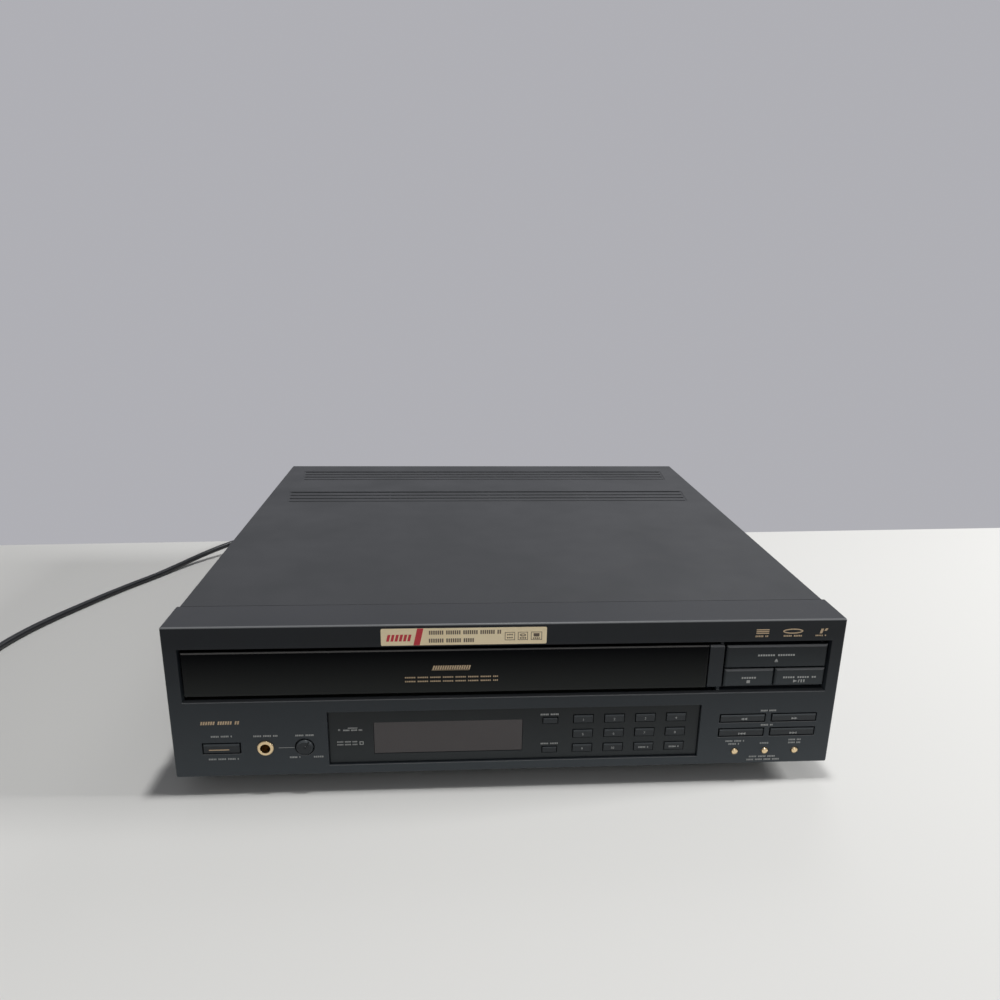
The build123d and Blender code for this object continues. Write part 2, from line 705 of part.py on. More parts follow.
def front_board():
    """The board behind the panel: key switches, the display tube and the level control."""
    board_y = depths(FRONT_BOARD_DEPTH, FRONT_BOARD_DEPTH + BOARD_THICK)
    board = block(FRONT_BOARD_X, board_y, heights(*FRONT_BOARD_H))
    board += block(KEY_BOARD_X, board_y, heights(FRONT_BOARD_H[1] - 1, KEY_BOARD_TOP))
    socket = PHONES_BODY + 2 * SEAT
    board -= block(around(PHONES_X, socket), grown(board_y, 1), heights(*around(PHONES_H, socket)))
    body_y = depths(FRONT_BOARD_DEPTH - SWITCH_BODY, FRONT_BOARD_DEPTH)
    tip_y = (body_y[0] - SWITCH_PLUNGER, body_y[0])
    for x, height in switch_places():
        board += block(around(x, SWITCH_SIZE), body_y, heights(*around(height, SWITCH_SIZE)))
        board += disc_y(x, tip_y, FOOT_GAP + height, STEM_RADIUS)
    tube_y = depths(FRONT_BOARD_DEPTH - TUBE_THICK, FRONT_BOARD_DEPTH)
    tube_h = grown(WINDOW_H, -TUBE_MARGIN / 2)
    tube = block(grown(WINDOW_X, -TUBE_MARGIN), tube_y, heights(*tube_h))
    tube = fillet(tube.edges().filter_by(Axis.Y), TUBE_MARGIN / 2)
    control_y = depths(FRONT_BOARD_DEPTH - LEVEL_CONTROL_DEPTH, FRONT_BOARD_DEPTH)
    control = block(around(KNOB_X, LEVEL_CONTROL), control_y, heights(*around(KNOB_H, LEVEL_CONTROL)))
    shaft_y = (FRONT_Y - KNOB_REACH + KNOB_SHAFT_INSET, control_y[0])
    control += disc_y(KNOB_X, shaft_y, FOOT_GAP + KNOB_H, KNOB_SHAFT_RADIUS)
    return Compound(children=[board, tube, control])


def headphone_jack():
    """The headphone socket: a plated ring and bush on a moulded body."""
    middle = FOOT_GAP + PHONES_H
    ring = disc_y(PHONES_X, depths(-PHONES_RING_STAND, 0), middle, PHONES_RING_RADIUS)
    ring = chamfer(ring.edges().filter_by(GeomType.CIRCLE).sort_by(Axis.Y)[0], PHONES_RING_STAND / 3)
    bush_end = PANEL_WALL + SEAT
    jack = ring + disc_y(PHONES_X, depths(0, bush_end), middle, PHONES_BUSH_RADIUS)
    body_z = heights(*around(PHONES_H, PHONES_BODY))
    jack += block(around(PHONES_X, PHONES_BODY), depths(bush_end, PHONES_BODY_END), body_z)
    bore = depths(-PHONES_RING_STAND - 1, PHONES_BODY_END - CAP_WALL)
    return jack - disc_y(PHONES_X, bore, middle, PHONES_BORE_RADIUS)


def level_knob():
    """The small level knob, let into the panel, with a pointer notch and a socket for its shaft."""
    front = FRONT_Y - KNOB_REACH
    back = front + KNOB_LENGTH
    middle = FOOT_GAP + KNOB_H
    profile = [
        (0, front), (KNOB_RADIUS - 2 * KNOB_CROWN, front),
        (KNOB_RADIUS - KNOB_CROWN / 2, front + KNOB_CROWN),
        (KNOB_RADIUS, front + 2 * KNOB_CROWN), (KNOB_RADIUS, back), (0, back),
    ]
    knob = turned_y(profile, KNOB_X, middle)
    socket = (front + KNOB_SHAFT_INSET - SHEET_FIT, back + 1)
    knob -= disc_y(KNOB_X, socket, middle, KNOB_SHAFT_RADIUS + RUNNING / 2)
    notch_width, notch_deep = KNOB_NOTCH
    notch = block(around(0, notch_width), (front - 1, front + notch_deep), (0, KNOB_RADIUS + 1))
    return knob - Pos(KNOB_X, 0, middle) * Rot(0, KNOB_TURN, 0) * notch


# Case

def chassis_pan():
    """The folded steel floor of the case, with stand-offs, ribs and cooling slots."""
    floor_y = depths(CAP_DEPTH + SHEET_FIT, REAR_PLATE_DEPTHS[0])
    half = (-PAN_HALF, PAN_HALF)
    pan = block(half, floor_y, heights(PAN_RAISE, PAN_FLOOR_H))
    for side in (-1, 1):
        wall = sorted((side * PAN_HALF, side * (PAN_HALF - SHEET)))
        pan += block(wall, floor_y, heights(PAN_RAISE, PAN_RAISE + PAN_SIDE_HEIGHT))
    front_y = (floor_y[0], floor_y[0] + SHEET)
    rear_y = (floor_y[1] - SHEET, floor_y[1])
    pan += block(half, front_y, heights(PAN_RAISE, PAN_RAISE + PAN_FRONT_HEIGHT))
    pan += block(half, rear_y, heights(PAN_RAISE, PAN_RAISE + PAN_REAR_HEIGHT))
    rib_z = heights(PAN_FLOOR_H, PAN_FLOOR_H + PAN_RIB)
    for depth in PAN_RIB_DEPTHS:
        pan += block(grown(half, -PAN_RIB_MARGIN), depths(*around(depth, PAN_RIB_WIDTH)), rib_z)
    slot_width, slot_length = PAN_SLOT
    slot_z = heights(PAN_RAISE - 1, PAN_FLOOR_H + 1)
    for column in range(PAN_SLOT_COUNT):
        x = SPINDLE_X + (column - (PAN_SLOT_COUNT - 1) / 2) * PAN_SLOT_PITCH
        pan -= block(around(x, slot_width), depths(*around(PAN_SLOT_DEPTH, slot_length)), slot_z)
    for x, depth in main_board_posts():
        pan += disc_z(x, FRONT_Y + depth, heights(PAN_FLOOR_H, MAIN_BOARD_H), STAND_OFF_RADIUS)
    for depth in SIDE_SCREW_DEPTHS:
        hole_z = FOOT_GAP + SIDE_SCREW_H
        pan -= disc_x(grown(half, 1), FRONT_Y + depth, hole_z, SCREW_RADIUS + RUNNING)
    return pan


def main_board_posts():
    """Where the stand-offs carry the main board, clear of its edges."""
    left, right = grown(MAIN_BOARD_X, -STAND_OFF_INSET[0])
    near, far = grown(MAIN_BOARD_DEPTHS, -STAND_OFF_INSET[1])
    return [(x, depth) for x in (left, (left + right) / 2, right) for depth in (near, far)]


def feet():
    """Four round feet with rubber pads let into their undersides."""
    top = FOOT_GAP + PAN_RAISE
    pieces = []
    for x in (-FOOT_X, FOOT_X):
        for depth in FOOT_DEPTHS:
            profile = [
                (0, PAD_THICK), (PAD_RADIUS + SEAT, PAD_THICK), (PAD_RADIUS + SEAT, PAD_STAND),
                (FOOT_RADIUS - FOOT_TAPER, PAD_STAND), (FOOT_RADIUS, top - FOOT_FLANGE),
                (FOOT_RADIUS, top), (0, top),
            ]
            pieces.append(turned(profile, x, FRONT_Y + depth))
            pieces.append(disc_z(x, FRONT_Y + depth, (0, PAD_THICK), PAD_RADIUS))
    return Compound(children=pieces)


def rear_panel():
    """The rear plate, with a lip under the bonnet and openings for cord, sockets and air."""
    top = PANEL_HEIGHT - SHEET - SHEET_FIT
    plate = block((-PAN_HALF, PAN_HALF), depths(*REAR_PLATE_DEPTHS), heights(PAN_RAISE, top))
    plate = fillet(plate.edges().filter_by(Axis.Y).sort_by(Axis.Z)[-2:], BONNET_BEND)
    lip_y = depths(REAR_PLATE_DEPTHS[0] - REAR_LIP, REAR_PLATE_DEPTHS[1])
    plate += block(grown((-PAN_HALF, PAN_HALF), -REAR_LIP), lip_y, heights(top - SHEET, top))
    through = depths(*grown(REAR_PLATE_DEPTHS, 1))
    opening_x, opening_h = grown(JACK_PLATE_X, -SHEET), grown(JACK_PLATE_H, -SHEET)
    plate -= block(opening_x, through, heights(*opening_h))
    plate -= disc_y(CORD_X, through, FOOT_GAP + CORD_H, GLAND_NECK_RADIUS + RUNNING)
    slot_width, slot_length = REAR_SLOT
    for row in REAR_SLOT_ROWS:
        for column in range(REAR_SLOT_COUNT):
            x = REAR_SLOT_FIRST_X + column * REAR_SLOT_PITCH
            plate -= block(around(x, slot_width), through, heights(*around(row, slot_length)))
    for x in REAR_SCREW_X:
        plate -= disc_y(x, through, rear_screw_z(), SCREW_RADIUS + RUNNING)
    return plate


def rear_screw_z():
    """The height of the screws through the bonnet's rear lip."""
    return FOOT_GAP + PANEL_HEIGHT - REAR_LIP / 2 - SHEET / 2


def vent_x(depth, middle):
    """The X span of a group of vents at one depth: it spreads towards the back."""
    rows = (GROOVE_COUNT - 1) * GROOVE_PITCH
    return grown(VENT_X, VENT_SPREAD * ((depth - middle) / rows + 0.5))


def vent_panel(middle, rise):
    """The pressed panel round one group of vents, as a thin slab with slanted ends."""
    top = FOOT_GAP + PANEL_HEIGHT
    near, far = around(middle, (GROOVE_COUNT - 1) * GROOVE_PITCH + GROOVE_WIDTH)
    corners = []
    for depth, step in ((near, 1), (far, -1)):
        corners += [(x, FRONT_Y + depth) for x in grown(vent_x(depth, middle), VENT_END)[::step]]
    return upright(corners, (top - rise - VENT_PRESS, top - rise))


def vent_grooves(middle):
    """The cutters of one group of vents: shallow grooves with slots through their floors."""
    top = FOOT_GAP + PANEL_HEIGHT
    groove_z = (top - VENT_PRESS - SHEET / 2, top)
    slot_z = (top - 2 * VENT_PRESS - 2 * SHEET, top)
    cutters = []
    for row in range(GROOVE_COUNT):
        depth = middle + (row - (GROOVE_COUNT - 1) / 2) * GROOVE_PITCH
        groove_x = vent_x(depth, middle)
        cutters.append(block(groove_x, depths(*around(depth, GROOVE_WIDTH)), groove_z))
        pitch = (groove_x[1] - groove_x[0] + SLOT_BRIDGE) / SLOTS_PER_GROOVE
        for column in range(SLOTS_PER_GROOVE):
            start = groove_x[0] + column * pitch
            slot_x = (start, start + pitch - SLOT_BRIDGE)
            cutters.append(block(slot_x, depths(*around(depth, SLOT_WIDTH)), slot_z))
    return cutters


def bonnet():
    """The folded steel cover, with two groups of pressed and pierced vents."""
    outer_y = depths(CAP_DEPTH + SEAM, BODY_DEPTH)
    outer_z = heights(BONNET_SKIRT, PANEL_HEIGHT)
    half = (-BONNET_HALF, BONNET_HALF)
    cover = block(half, outer_y, outer_z)
    top_edges = cover.faces().sort_by(Axis.Z)[-1].edges().filter_by(Axis.Y)
    cover = fillet(top_edges, BONNET_BEND)
    hollow_y = (outer_y[0] - 1, outer_y[1] - SHEET)
    hollow = block(grown(half, -SHEET), hollow_y, (outer_z[0] - 1, outer_z[1] - SHEET))
    hollow = fillet(hollow.faces().sort_by(Axis.Z)[-1].edges().filter_by(Axis.Y), BONNET_BEND - SHEET)
    cover -= hollow
    below_lip = (outer_z[0] - 1, outer_z[1] - REAR_LIP)
    cover -= block(grown(half, -SHEET), (outer_y[1] - 2 * SHEET, outer_y[1] + 1), below_lip)
    for middle in VENT_MIDDLE_DEPTHS:
        cover += vent_panel(middle, SHEET)
        cover -= vent_panel(middle, 0)
        cover -= vent_grooves(middle)
    for depth in SIDE_SCREW_DEPTHS:
        hole_z = FOOT_GAP + SIDE_SCREW_H
        cover -= disc_x(grown(half, 1), FRONT_Y + depth, hole_z, SCREW_RADIUS + RUNNING)
    for x in REAR_SCREW_X:
        hole_y = grown((outer_y[1] - SHEET, outer_y[1]), 1)
        cover -= disc_y(x, hole_y, rear_screw_z(), SCREW_RADIUS + RUNNING)
    return cover


def bonnet_screws():
    """The screws that hold the bonnet: two in each side and three at the back."""
    screws = []
    for side in (-1, 1):
        for depth in SIDE_SCREW_DEPTHS:
            place = (FRONT_Y + depth, FOOT_GAP + SIDE_SCREW_H)
            head = sorted((side * BONNET_HALF, side * (BONNET_HALF + SCREW_HEAD_THICK)))
            shank = sorted((side * BONNET_HALF, side * (BONNET_HALF - SCREW_LENGTH)))
            top = disc_x(head, *place, SCREW_HEAD_RADIUS)
            rim = top.faces().sort_by(Axis.X)[0 if side < 0 else -1].edges()
            screws.append(chamfer(rim, SCREW_HEAD_THICK / 3) + disc_x(shank, *place, SCREW_RADIUS))
    back = FRONT_Y + BODY_DEPTH
    for x in REAR_SCREW_X:
        head = disc_y(x, (back, back + SCREW_HEAD_THICK), rear_screw_z(), SCREW_HEAD_RADIUS)
        head = chamfer(head.faces().sort_by(Axis.Y)[-1].edges(), SCREW_HEAD_THICK / 3)
        shank = disc_y(x, (back - SCREW_LENGTH, back), rear_screw_z(), SCREW_RADIUS)
        screws.append(head + shank)
    return Compound(children=screws)


def rear_jacks():
    """The socket plate: eight phono sockets, an optical socket and a control socket."""
    face = BODY_DEPTH - SHEET
    plate_y = depths(face, face + JACK_PLATE_THICK)
    plate = block(JACK_PLATE_X, plate_y, heights(*JACK_PLATE_H))
    opening_x, opening_h = grown(JACK_PLATE_X, -SHEET - SEAT), grown(JACK_PLATE_H, -SHEET - SEAT)
    plate += block(opening_x, depths(face - JACK_BODY_DEPTH, face), heights(*opening_h))
    optical_z = heights(*around(JACK_HEIGHTS[1], OPTICAL_SIZE))
    plate += block(around(OPTICAL_X, OPTICAL_SIZE), (plate_y[1], plate_y[1] + JACK_COLLAR_THICK), optical_z)
    recess_z = heights(*around(JACK_HEIGHTS[1], OPTICAL_SIZE - 2 * OPTICAL_WALL))
    recess_y = (plate_y[1] - OPTICAL_DEEP, plate_y[1] + JACK_COLLAR_THICK + 1)
    plate -= block(around(OPTICAL_X, OPTICAL_SIZE - 2 * OPTICAL_WALL), recess_y, recess_z)
    plate += disc_y(OPTICAL_X, (plate_y[1], plate_y[1] + JACK_COLLAR_THICK),
                    FOOT_GAP + JACK_HEIGHTS[0], MINI_JACK_RADIUS)
    plate -= disc_y(OPTICAL_X, (plate_y[1] - MINI_JACK_DEEP, plate_y[1] + JACK_COLLAR_THICK + 1),
                    FOOT_GAP + JACK_HEIGHTS[0], MINI_JACK_BORE)
    pieces = [plate]
    collar_y = (plate_y[1], plate_y[1] + JACK_COLLAR_THICK)
    shell_y = (collar_y[1], FRONT_Y + BODY_DEPTH + JACK_REACH)
    for column in range(JACK_COLUMNS):
        x = JACK_FIRST_X + column * JACK_PITCH_X
        for height in JACK_HEIGHTS:
            z = FOOT_GAP + height
            jack = disc_y(x, collar_y, z, JACK_COLLAR_RADIUS) + disc_y(x, shell_y, z, JACK_SHELL_RADIUS)
            pieces.append(jack - disc_y(x, grown((collar_y[0], shell_y[1]), 1), z, JACK_HOLE_RADIUS))
    return Compound(children=pieces)


def transformer():
    """The mains transformer: a stacked core on the floor with its wound bobbin."""
    low = PAN_FLOOR_H
    core_y = depths(*grown(TRANSFORMER_DEPTHS, -CORE_WALL))
    core = block(TRANSFORMER_X, core_y, heights(low, low + CORE_HEIGHT))
    window_x = grown(TRANSFORMER_X, -CORE_WALL)
    centre_x = around(sum(TRANSFORMER_X) / 2, CORE_WALL * 1.4)
    window_h = heights(low + CORE_WALL / 2, low + CORE_HEIGHT - CORE_WALL / 2)
    bobbin = block(window_x, depths(*TRANSFORMER_DEPTHS), window_h)
    bobbin = fillet(bobbin.edges().filter_by(Axis.Z), BOBBIN_STAND)
    for side_x in ((window_x[0], centre_x[0]), (centre_x[1], window_x[1])):
        core -= block(side_x, depths(*grown(TRANSFORMER_DEPTHS, 1)), window_h)
    return Compound(children=[core, bobbin - core])


def main_board():
    """The main board on its stand-offs, with chips, capacitors and a finned heat sink."""
    board_z = heights(MAIN_BOARD_H, MAIN_BOARD_H + BOARD_THICK)
    board = block(MAIN_BOARD_X, depths(*MAIN_BOARD_DEPTHS), board_z)
    for depth in LEG_DEPTHS:
        hole_x = SPINDLE_X + LEG_HALF
        board -= disc_z(hole_x, FRONT_Y + depth, grown(board_z, 1), LEG_RADIUS + LEG_CLEARANCE)
    top = MAIN_BOARD_H + BOARD_THICK
    left, right = MAIN_BOARD_X
    near, far = MAIN_BOARD_DEPTHS
    chip_x, chip_y, chip_tall = CHIP_SIZE
    for column in range(CHIP_COLUMNS):
        for row in range(CHIP_ROWS):
            x = left + CHIP_FIRST[0] + column * CHIP_PITCH[0]
            depth = near + CHIP_FIRST[1] + row * CHIP_PITCH[1]
            board += block(around(x, chip_x), depths(*around(depth, chip_y)), heights(top, top + chip_tall))
    for index, (from_right, from_rear) in enumerate(CAPACITOR_PLACES):
        can_h = heights(top, top + CAPACITOR_HEIGHTS[index % len(CAPACITOR_HEIGHTS)])
        board += disc_z(right - from_right, FRONT_Y + far - from_rear, can_h, CAPACITOR_RADIUS)
    sink_x = (right - SINK_X_INSET[0], right - SINK_X_INSET[1])
    sink_y = depths(*SINK_DEPTHS)
    board += block(sink_x, sink_y, heights(top, top + SINK_BASE))
    pitch = (sink_x[1] - sink_x[0] - 2 * FIN_INSET) / (FIN_COUNT - 1)
    for fin in range(FIN_COUNT):
        fin_x = around(sink_x[0] + FIN_INSET + fin * pitch, FIN_THICK)
        board += block(fin_x, sink_y, heights(top + SINK_BASE / 2, top + SINK_HEIGHT))
    supply_x = (right - SUPPLY_INSET[0], right - SUPPLY_INSET[1])
    board += block(supply_x, depths(*SUPPLY_DEPTHS), heights(top, top + SUPPLY_HEIGHT))
    return board


# Mechanism: deck, tray and loading drive

def mech_deck():
    """The mechanism deck on four legs, with tray rails, lift pins and clamp posts."""
    x0 = SPINDLE_X
    half = (x0 - DECK_HALF, x0 + DECK_HALF)
    top = DECK_H + DECK_THICK
    deck = block(half, depths(*DECK_DEPTHS), heights(DECK_H, top))
    hole_x = (x0 - DECK_HOLE_HALF, x0 + DECK_HOLE_HALF)
    deck -= block(hole_x, depths(*DECK_HOLE_DEPTHS), heights(DECK_H - 1, top + 1))
    for side in (-1, 1):
        vent_inner, vent_outer = DECK_HOLE_HALF + DECK_VENT_INSET[0], DECK_HALF - DECK_VENT_INSET[1]
        side_x = sorted((x0 + side * vent_inner, x0 + side * vent_outer))
        for near in DECK_VENT_STARTS:
            deck -= block(side_x, depths(near, near + DECK_VENT_LENGTH), heights(DECK_H - 1, top + 1))
        wall = sorted((x0 + side * (TRAY_HALF + SLIDING), x0 + side * DECK_HALF))
        rail = block(wall, depths(*DECK_DEPTHS), heights(top, RAIL_TOP))
        reach = TRAY_HALF + SLIDING + RAIL_GROOVE_DEPTH
        groove = sorted((x0, x0 + side * reach))
        groove_h = grown((TRAY_BOTTOM, TRAY_BOTTOM + RUNNER_HEIGHT), SLIDING)
        deck += rail - block(groove, depths(*grown(DECK_DEPTHS, 1)), heights(*groove_h))
    for x in (x0 - LEG_HALF, x0 + LEG_HALF):
        for depth in LEG_DEPTHS:
            deck += disc_z(x, FRONT_Y + depth, heights(PAN_FLOOR_H, DECK_H), LEG_RADIUS)
    head_top = LIFT_BUSH_H[0] - SEAT
    for x in (x0 - LIFT_PIN_HALF, x0 + LIFT_PIN_HALF):
        for depth in LIFT_PIN_DEPTHS:
            deck += disc_z(x, FRONT_Y + depth, heights(head_top, DECK_H), LIFT_PIN_RADIUS)
            head_z = heights(head_top - LIFT_HEAD_THICK, head_top)
            deck += disc_z(x, FRONT_Y + depth, head_z, LIFT_BUSH_RADIUS)
    deck += disc_z(PINION_X, FRONT_Y + PINION_DEPTH, heights(top, RACK_H[1] + 1.5), PINION_POST_RADIUS)
    nose_hole = MOTOR_NOSE_RADIUS + SEAT
    deck -= disc_z(LOADING_MOTOR_X, FRONT_Y + LOADING_MOTOR_DEPTH, heights(DECK_H - 1, top + 1), nose_hole)
    for side in (-1, 1):
        inner = ARM_REAR_HALF + SEAT + ARM_POST_THICK / 2
        post_x = sorted((x0 + side * inner, x0 + side * (inner + ARM_POST_THICK)))
        post_y = depths(*around(ARM_PIVOT_DEPTH, 4 * ARM_PIN_RADIUS))
        post = block(post_x, post_y, heights(top, ARM_PIVOT_H + 2 * ARM_PIN_RADIUS))
        post -= disc_x(grown(post_x, 1), sum(post_y) / 2, FOOT_GAP + ARM_PIVOT_H, ARM_PIN_RADIUS + RUNNING)
        deck += post
    return deck


def disc_tray():
    """The loading tray: recesses for both disc sizes, runners, ribs and the rack."""
    x0, y0 = SPINDLE_X, SPINDLE_Y
    body_x = (x0 - TRAY_HALF, x0 + TRAY_HALF)
    tray = block(body_x, depths(*TRAY_DEPTHS), heights(TRAY_BOTTOM, TRAY_TOP))
    tray = fillet(tray.edges().filter_by(Axis.Z).sort_by(Axis.Y)[-2:], TRAY_CORNER)
    large_floor = TRAY_TOP - LARGE_RECESS_DEEP
    small_floor = TRAY_TOP - SMALL_RECESS_DEEP
    under = block(grown(body_x, -TRAY_WALL), depths(*grown(TRAY_DEPTHS, -TRAY_WALL)),
                  heights(TRAY_BOTTOM - 1, large_floor - TRAY_FLOOR))
    tray -= under
    cup_z = heights(small_floor - TRAY_FLOOR, large_floor)
    tray += disc_z(x0, y0, cup_z, SMALL_RECESS_RADIUS + TRAY_WALL)
    rib_z = heights(small_floor - TRAY_FLOOR, large_floor - TRAY_FLOOR)
    for depth in TRAY_RIB_DEPTHS:
        rib_y = depths(*around(depth, TRAY_RIB))
        for side in (-1, 1):
            rib_x = sorted((x0 + side * TRAY_REAR_NOTCH_HALF, x0 + side * (TRAY_HALF - TRAY_RIB_END)))
            tray += block(rib_x, rib_y, rib_z)
    for side in (-1, 1):
        rib_x = around(x0 + side * (TRAY_REAR_NOTCH_HALF + TRAY_LONG_RIB), TRAY_RIB)
        tray += block(rib_x, depths(*grown(TRAY_DEPTHS, -TRAY_WALL)), rib_z)
    top_z = heights(large_floor, TRAY_TOP + 1)
    tray -= disc_z(x0, y0, top_z, LARGE_RECESS_RADIUS)
    tray -= disc_z(x0, y0, heights(small_floor, TRAY_TOP + 1), SMALL_RECESS_RADIUS)
    for turn in (-135, -45):
        x = x0 + LARGE_RECESS_RADIUS * math.cos(math.radians(turn))
        y = y0 + LARGE_RECESS_RADIUS * math.sin(math.radians(turn))
        tray -= disc_z(x, y, top_z, FINGER_RADIUS)
    slot_z = heights(TRAY_BOTTOM - 1, TRAY_TOP + 1)
    front_end = disc_z(x0, y0 - DISC_SLOT_START + DISC_SLOT_HALF, slot_z, DISC_SLOT_HALF)
    slot_x = (x0 - DISC_SLOT_HALF, x0 + DISC_SLOT_HALF)
    rear = FRONT_Y + TRAY_DEPTHS[1] + 1
    tray -= front_end + block(slot_x, (y0 - DISC_SLOT_START + DISC_SLOT_HALF, rear), slot_z)
    notch_x = (x0 - TRAY_REAR_NOTCH_HALF, x0 + TRAY_REAR_NOTCH_HALF)
    notch_y = (rear - TRAY_WALL - 2, rear)
    tray -= block(notch_x, notch_y, heights(TRAY_BOTTOM - 1, large_floor - TRAY_FLOOR))
    runner_y = depths(RUNNER_START_DEPTH, TRAY_DEPTHS[1] - RUNNER_END)
    for side in (-1, 1):
        runner_x = sorted((x0 + side * TRAY_HALF, x0 + side * (TRAY_HALF + RUNNER_OUT)))
        tray += block(runner_x, runner_y, heights(TRAY_BOTTOM, TRAY_BOTTOM + RUNNER_HEIGHT))
    return tray + tray_rack(heights(RACK_H[0], large_floor - TRAY_FLOOR))


def tooth_sizes():
    """Half widths of a tooth at its root, pitch line and tip, with its height each way."""
    half = math.pi * GEAR_MODULE / 4 - GEAR_BACKLASH / 2
    slope = math.tan(math.radians(TOOTH_SLOPE))
    add, root = 0.9 * GEAR_MODULE, 1.2 * GEAR_MODULE
    return half + root * slope, half - add * slope, root, add


def tray_rack(web_z):
    """The toothed strip under the tray's left side, on a web from the tray's floor."""
    root_half, tip_half, root, add = tooth_sizes()
    pitch_x = PINION_X - GEAR_MODULE * PINION_TEETH / 2
    root_x = pitch_x - root
    strip_y = depths(*RACK_DEPTHS)
    rack_z = heights(*RACK_H)
    rack = block((root_x - RACK_BACK, root_x), strip_y, rack_z)
    rack += block((root_x - RACK_BACK, root_x - RACK_BACK + TRAY_RIB), strip_y, web_z)
    pitch = math.pi * GEAR_MODULE
    centre = FRONT_Y + PINION_DEPTH
    first = math.ceil((strip_y[0] + root_half - centre) / pitch)
    last = math.floor((strip_y[1] - root_half - centre) / pitch)
    teeth = []
    for index in range(first, last + 1):
        y = centre + index * pitch
        corners = [
            (root_x - 0.1, y - root_half), (pitch_x + add, y - tip_half),
            (pitch_x + add, y + tip_half), (root_x - 0.1, y + root_half),
        ]
        teeth.append(upright(corners, rack_z))
    return rack + teeth


def tray_front():
    """The glossy front of the tray, with clips that hook under the tray's front wall."""
    face = block(TRAY_FRONT_X, depths(TRAY_FRONT_STEP, TRAY_DEPTHS[0]), heights(*TRAY_FRONT_H))
    face = fillet(face.faces().sort_by(Axis.Y)[0].edges(), TRAY_FRONT_EDGE)
    width, reach = TRAY_CLIP
    clip_h = heights(TRAY_BOTTOM - SHEET_FIT - TRAY_WALL, TRAY_BOTTOM - SHEET_FIT)
    clip_reach = TRAY_HALF - TRAY_CLIP_INSET
    for x in (SPINDLE_X - clip_reach, SPINDLE_X, SPINDLE_X + clip_reach):
        face += block(around(x, width), depths(TRAY_DEPTHS[0] - 1, TRAY_DEPTHS[0] + reach), clip_h)
    return face


def loading_gear():
    """The belt pulley with the pinion that drives the rack, on one hub."""
    root_half, tip_half, root, add = tooth_sizes()
    pitch_radius = GEAR_MODULE * PINION_TEETH / 2
    pinion_z = heights(PULLEY_H[1], RACK_H[1] + 0.5)
    x, y = PINION_X, FRONT_Y + PINION_DEPTH
    low, high = heights(*PULLEY_H)
    groove = heights(*grown(BELT_H, SHEET_FIT))
    rim = [
        (0, low), (PULLEY_RADIUS, low), (PULLEY_RADIUS, groove[0]), (PULLEY_GROOVE_RADIUS, groove[0]),
        (PULLEY_GROOVE_RADIUS, groove[1]), (PULLEY_RADIUS, groove[1]), (PULLEY_RADIUS, high), (0, high),
    ]
    gear = turned(rim, x, y)
    gear += disc_z(x, y, pinion_z, pitch_radius - root)
    corners = [
        (pitch_radius - root - 0.3, -root_half), (pitch_radius + add, -tip_half),
        (pitch_radius + add, tip_half), (pitch_radius - root - 0.3, root_half),
    ]
    tooth = upright(corners, pinion_z)
    step = 360 / PINION_TEETH
    gear += [Pos(x, y, 0) * Rot(0, 0, (index + 0.5) * step) * tooth for index in range(PINION_TEETH)]
    return gear - disc_z(x, y, grown((low, pinion_z[1]), 1), PINION_POST_RADIUS + RUNNING)


def motor_pulley():
    """The small pulley on the loading motor, with its shaft."""
    groove = heights(*grown(BELT_H, SHEET_FIT))
    low, high = grown(groove, MOTOR_PULLEY_FLANGE)
    shaft_end = FOOT_GAP + DECK_H - LOADING_MOTOR_HEIGHT / 2
    profile = [
        (0, shaft_end), (MOTOR_SHAFT_RADIUS, shaft_end), (MOTOR_SHAFT_RADIUS, low),
        (MOTOR_PULLEY_RADIUS, low), (MOTOR_PULLEY_RADIUS, groove[0]),
        (MOTOR_PULLEY_GROOVE_RADIUS, groove[0]), (MOTOR_PULLEY_GROOVE_RADIUS, groove[1]),
        (MOTOR_PULLEY_RADIUS, groove[1]), (MOTOR_PULLEY_RADIUS, high), (0, high),
    ]
    return turned(profile, LOADING_MOTOR_X, FRONT_Y + LOADING_MOTOR_DEPTH)


def loading_motor():
    """The loading motor's can under the deck, with its nose through the deck."""
    top = FOOT_GAP + DECK_H
    low = top - LOADING_MOTOR_HEIGHT
    x, y = LOADING_MOTOR_X, FRONT_Y + LOADING_MOTOR_DEPTH
    can = disc_z(x, y, (low, top), LOADING_MOTOR_RADIUS)
    can = fillet(can.edges().filter_by(GeomType.CIRCLE).sort_by(Axis.Z)[0], 1.5)
    can += disc_z(x, y, (top, top + DECK_THICK), MOTOR_NOSE_RADIUS)
    bore = (low + LOADING_MOTOR_HEIGHT / 3, top + DECK_THICK + 1)
    return can - disc_z(x, y, bore, MOTOR_SHAFT_RADIUS + RUNNING)


def belt_loop(big, small):
    """The face inside a loop laid round the two pulleys at the given radii."""
    x1, y1 = PINION_X, FRONT_Y + PINION_DEPTH
    x2, y2 = LOADING_MOTOR_X, FRONT_Y + LOADING_MOTOR_DEPTH
    heading = math.atan2(y2 - y1, x2 - x1)
    lean = math.acos((big - small) / math.hypot(x2 - x1, y2 - y1))
    level = FOOT_GAP + BELT_H[0]

    def at(x, y, radius, angle):
        return (x + radius * math.cos(angle), y + radius * math.sin(angle), level)

    left, right = heading + lean, heading - lean
    back_turns, front_turns = (left, heading + math.pi, right), (right, heading, left)
    back_arc = ThreePointArc(*[at(x1, y1, big, turn) for turn in back_turns])
    front_arc = ThreePointArc(*[at(x2, y2, small, turn) for turn in front_turns])
    sides = [Line(back_arc @ 1, front_arc @ 0), Line(front_arc @ 1, back_arc @ 0)]
    return make_face([back_arc, sides[0], front_arc, sides[1]])


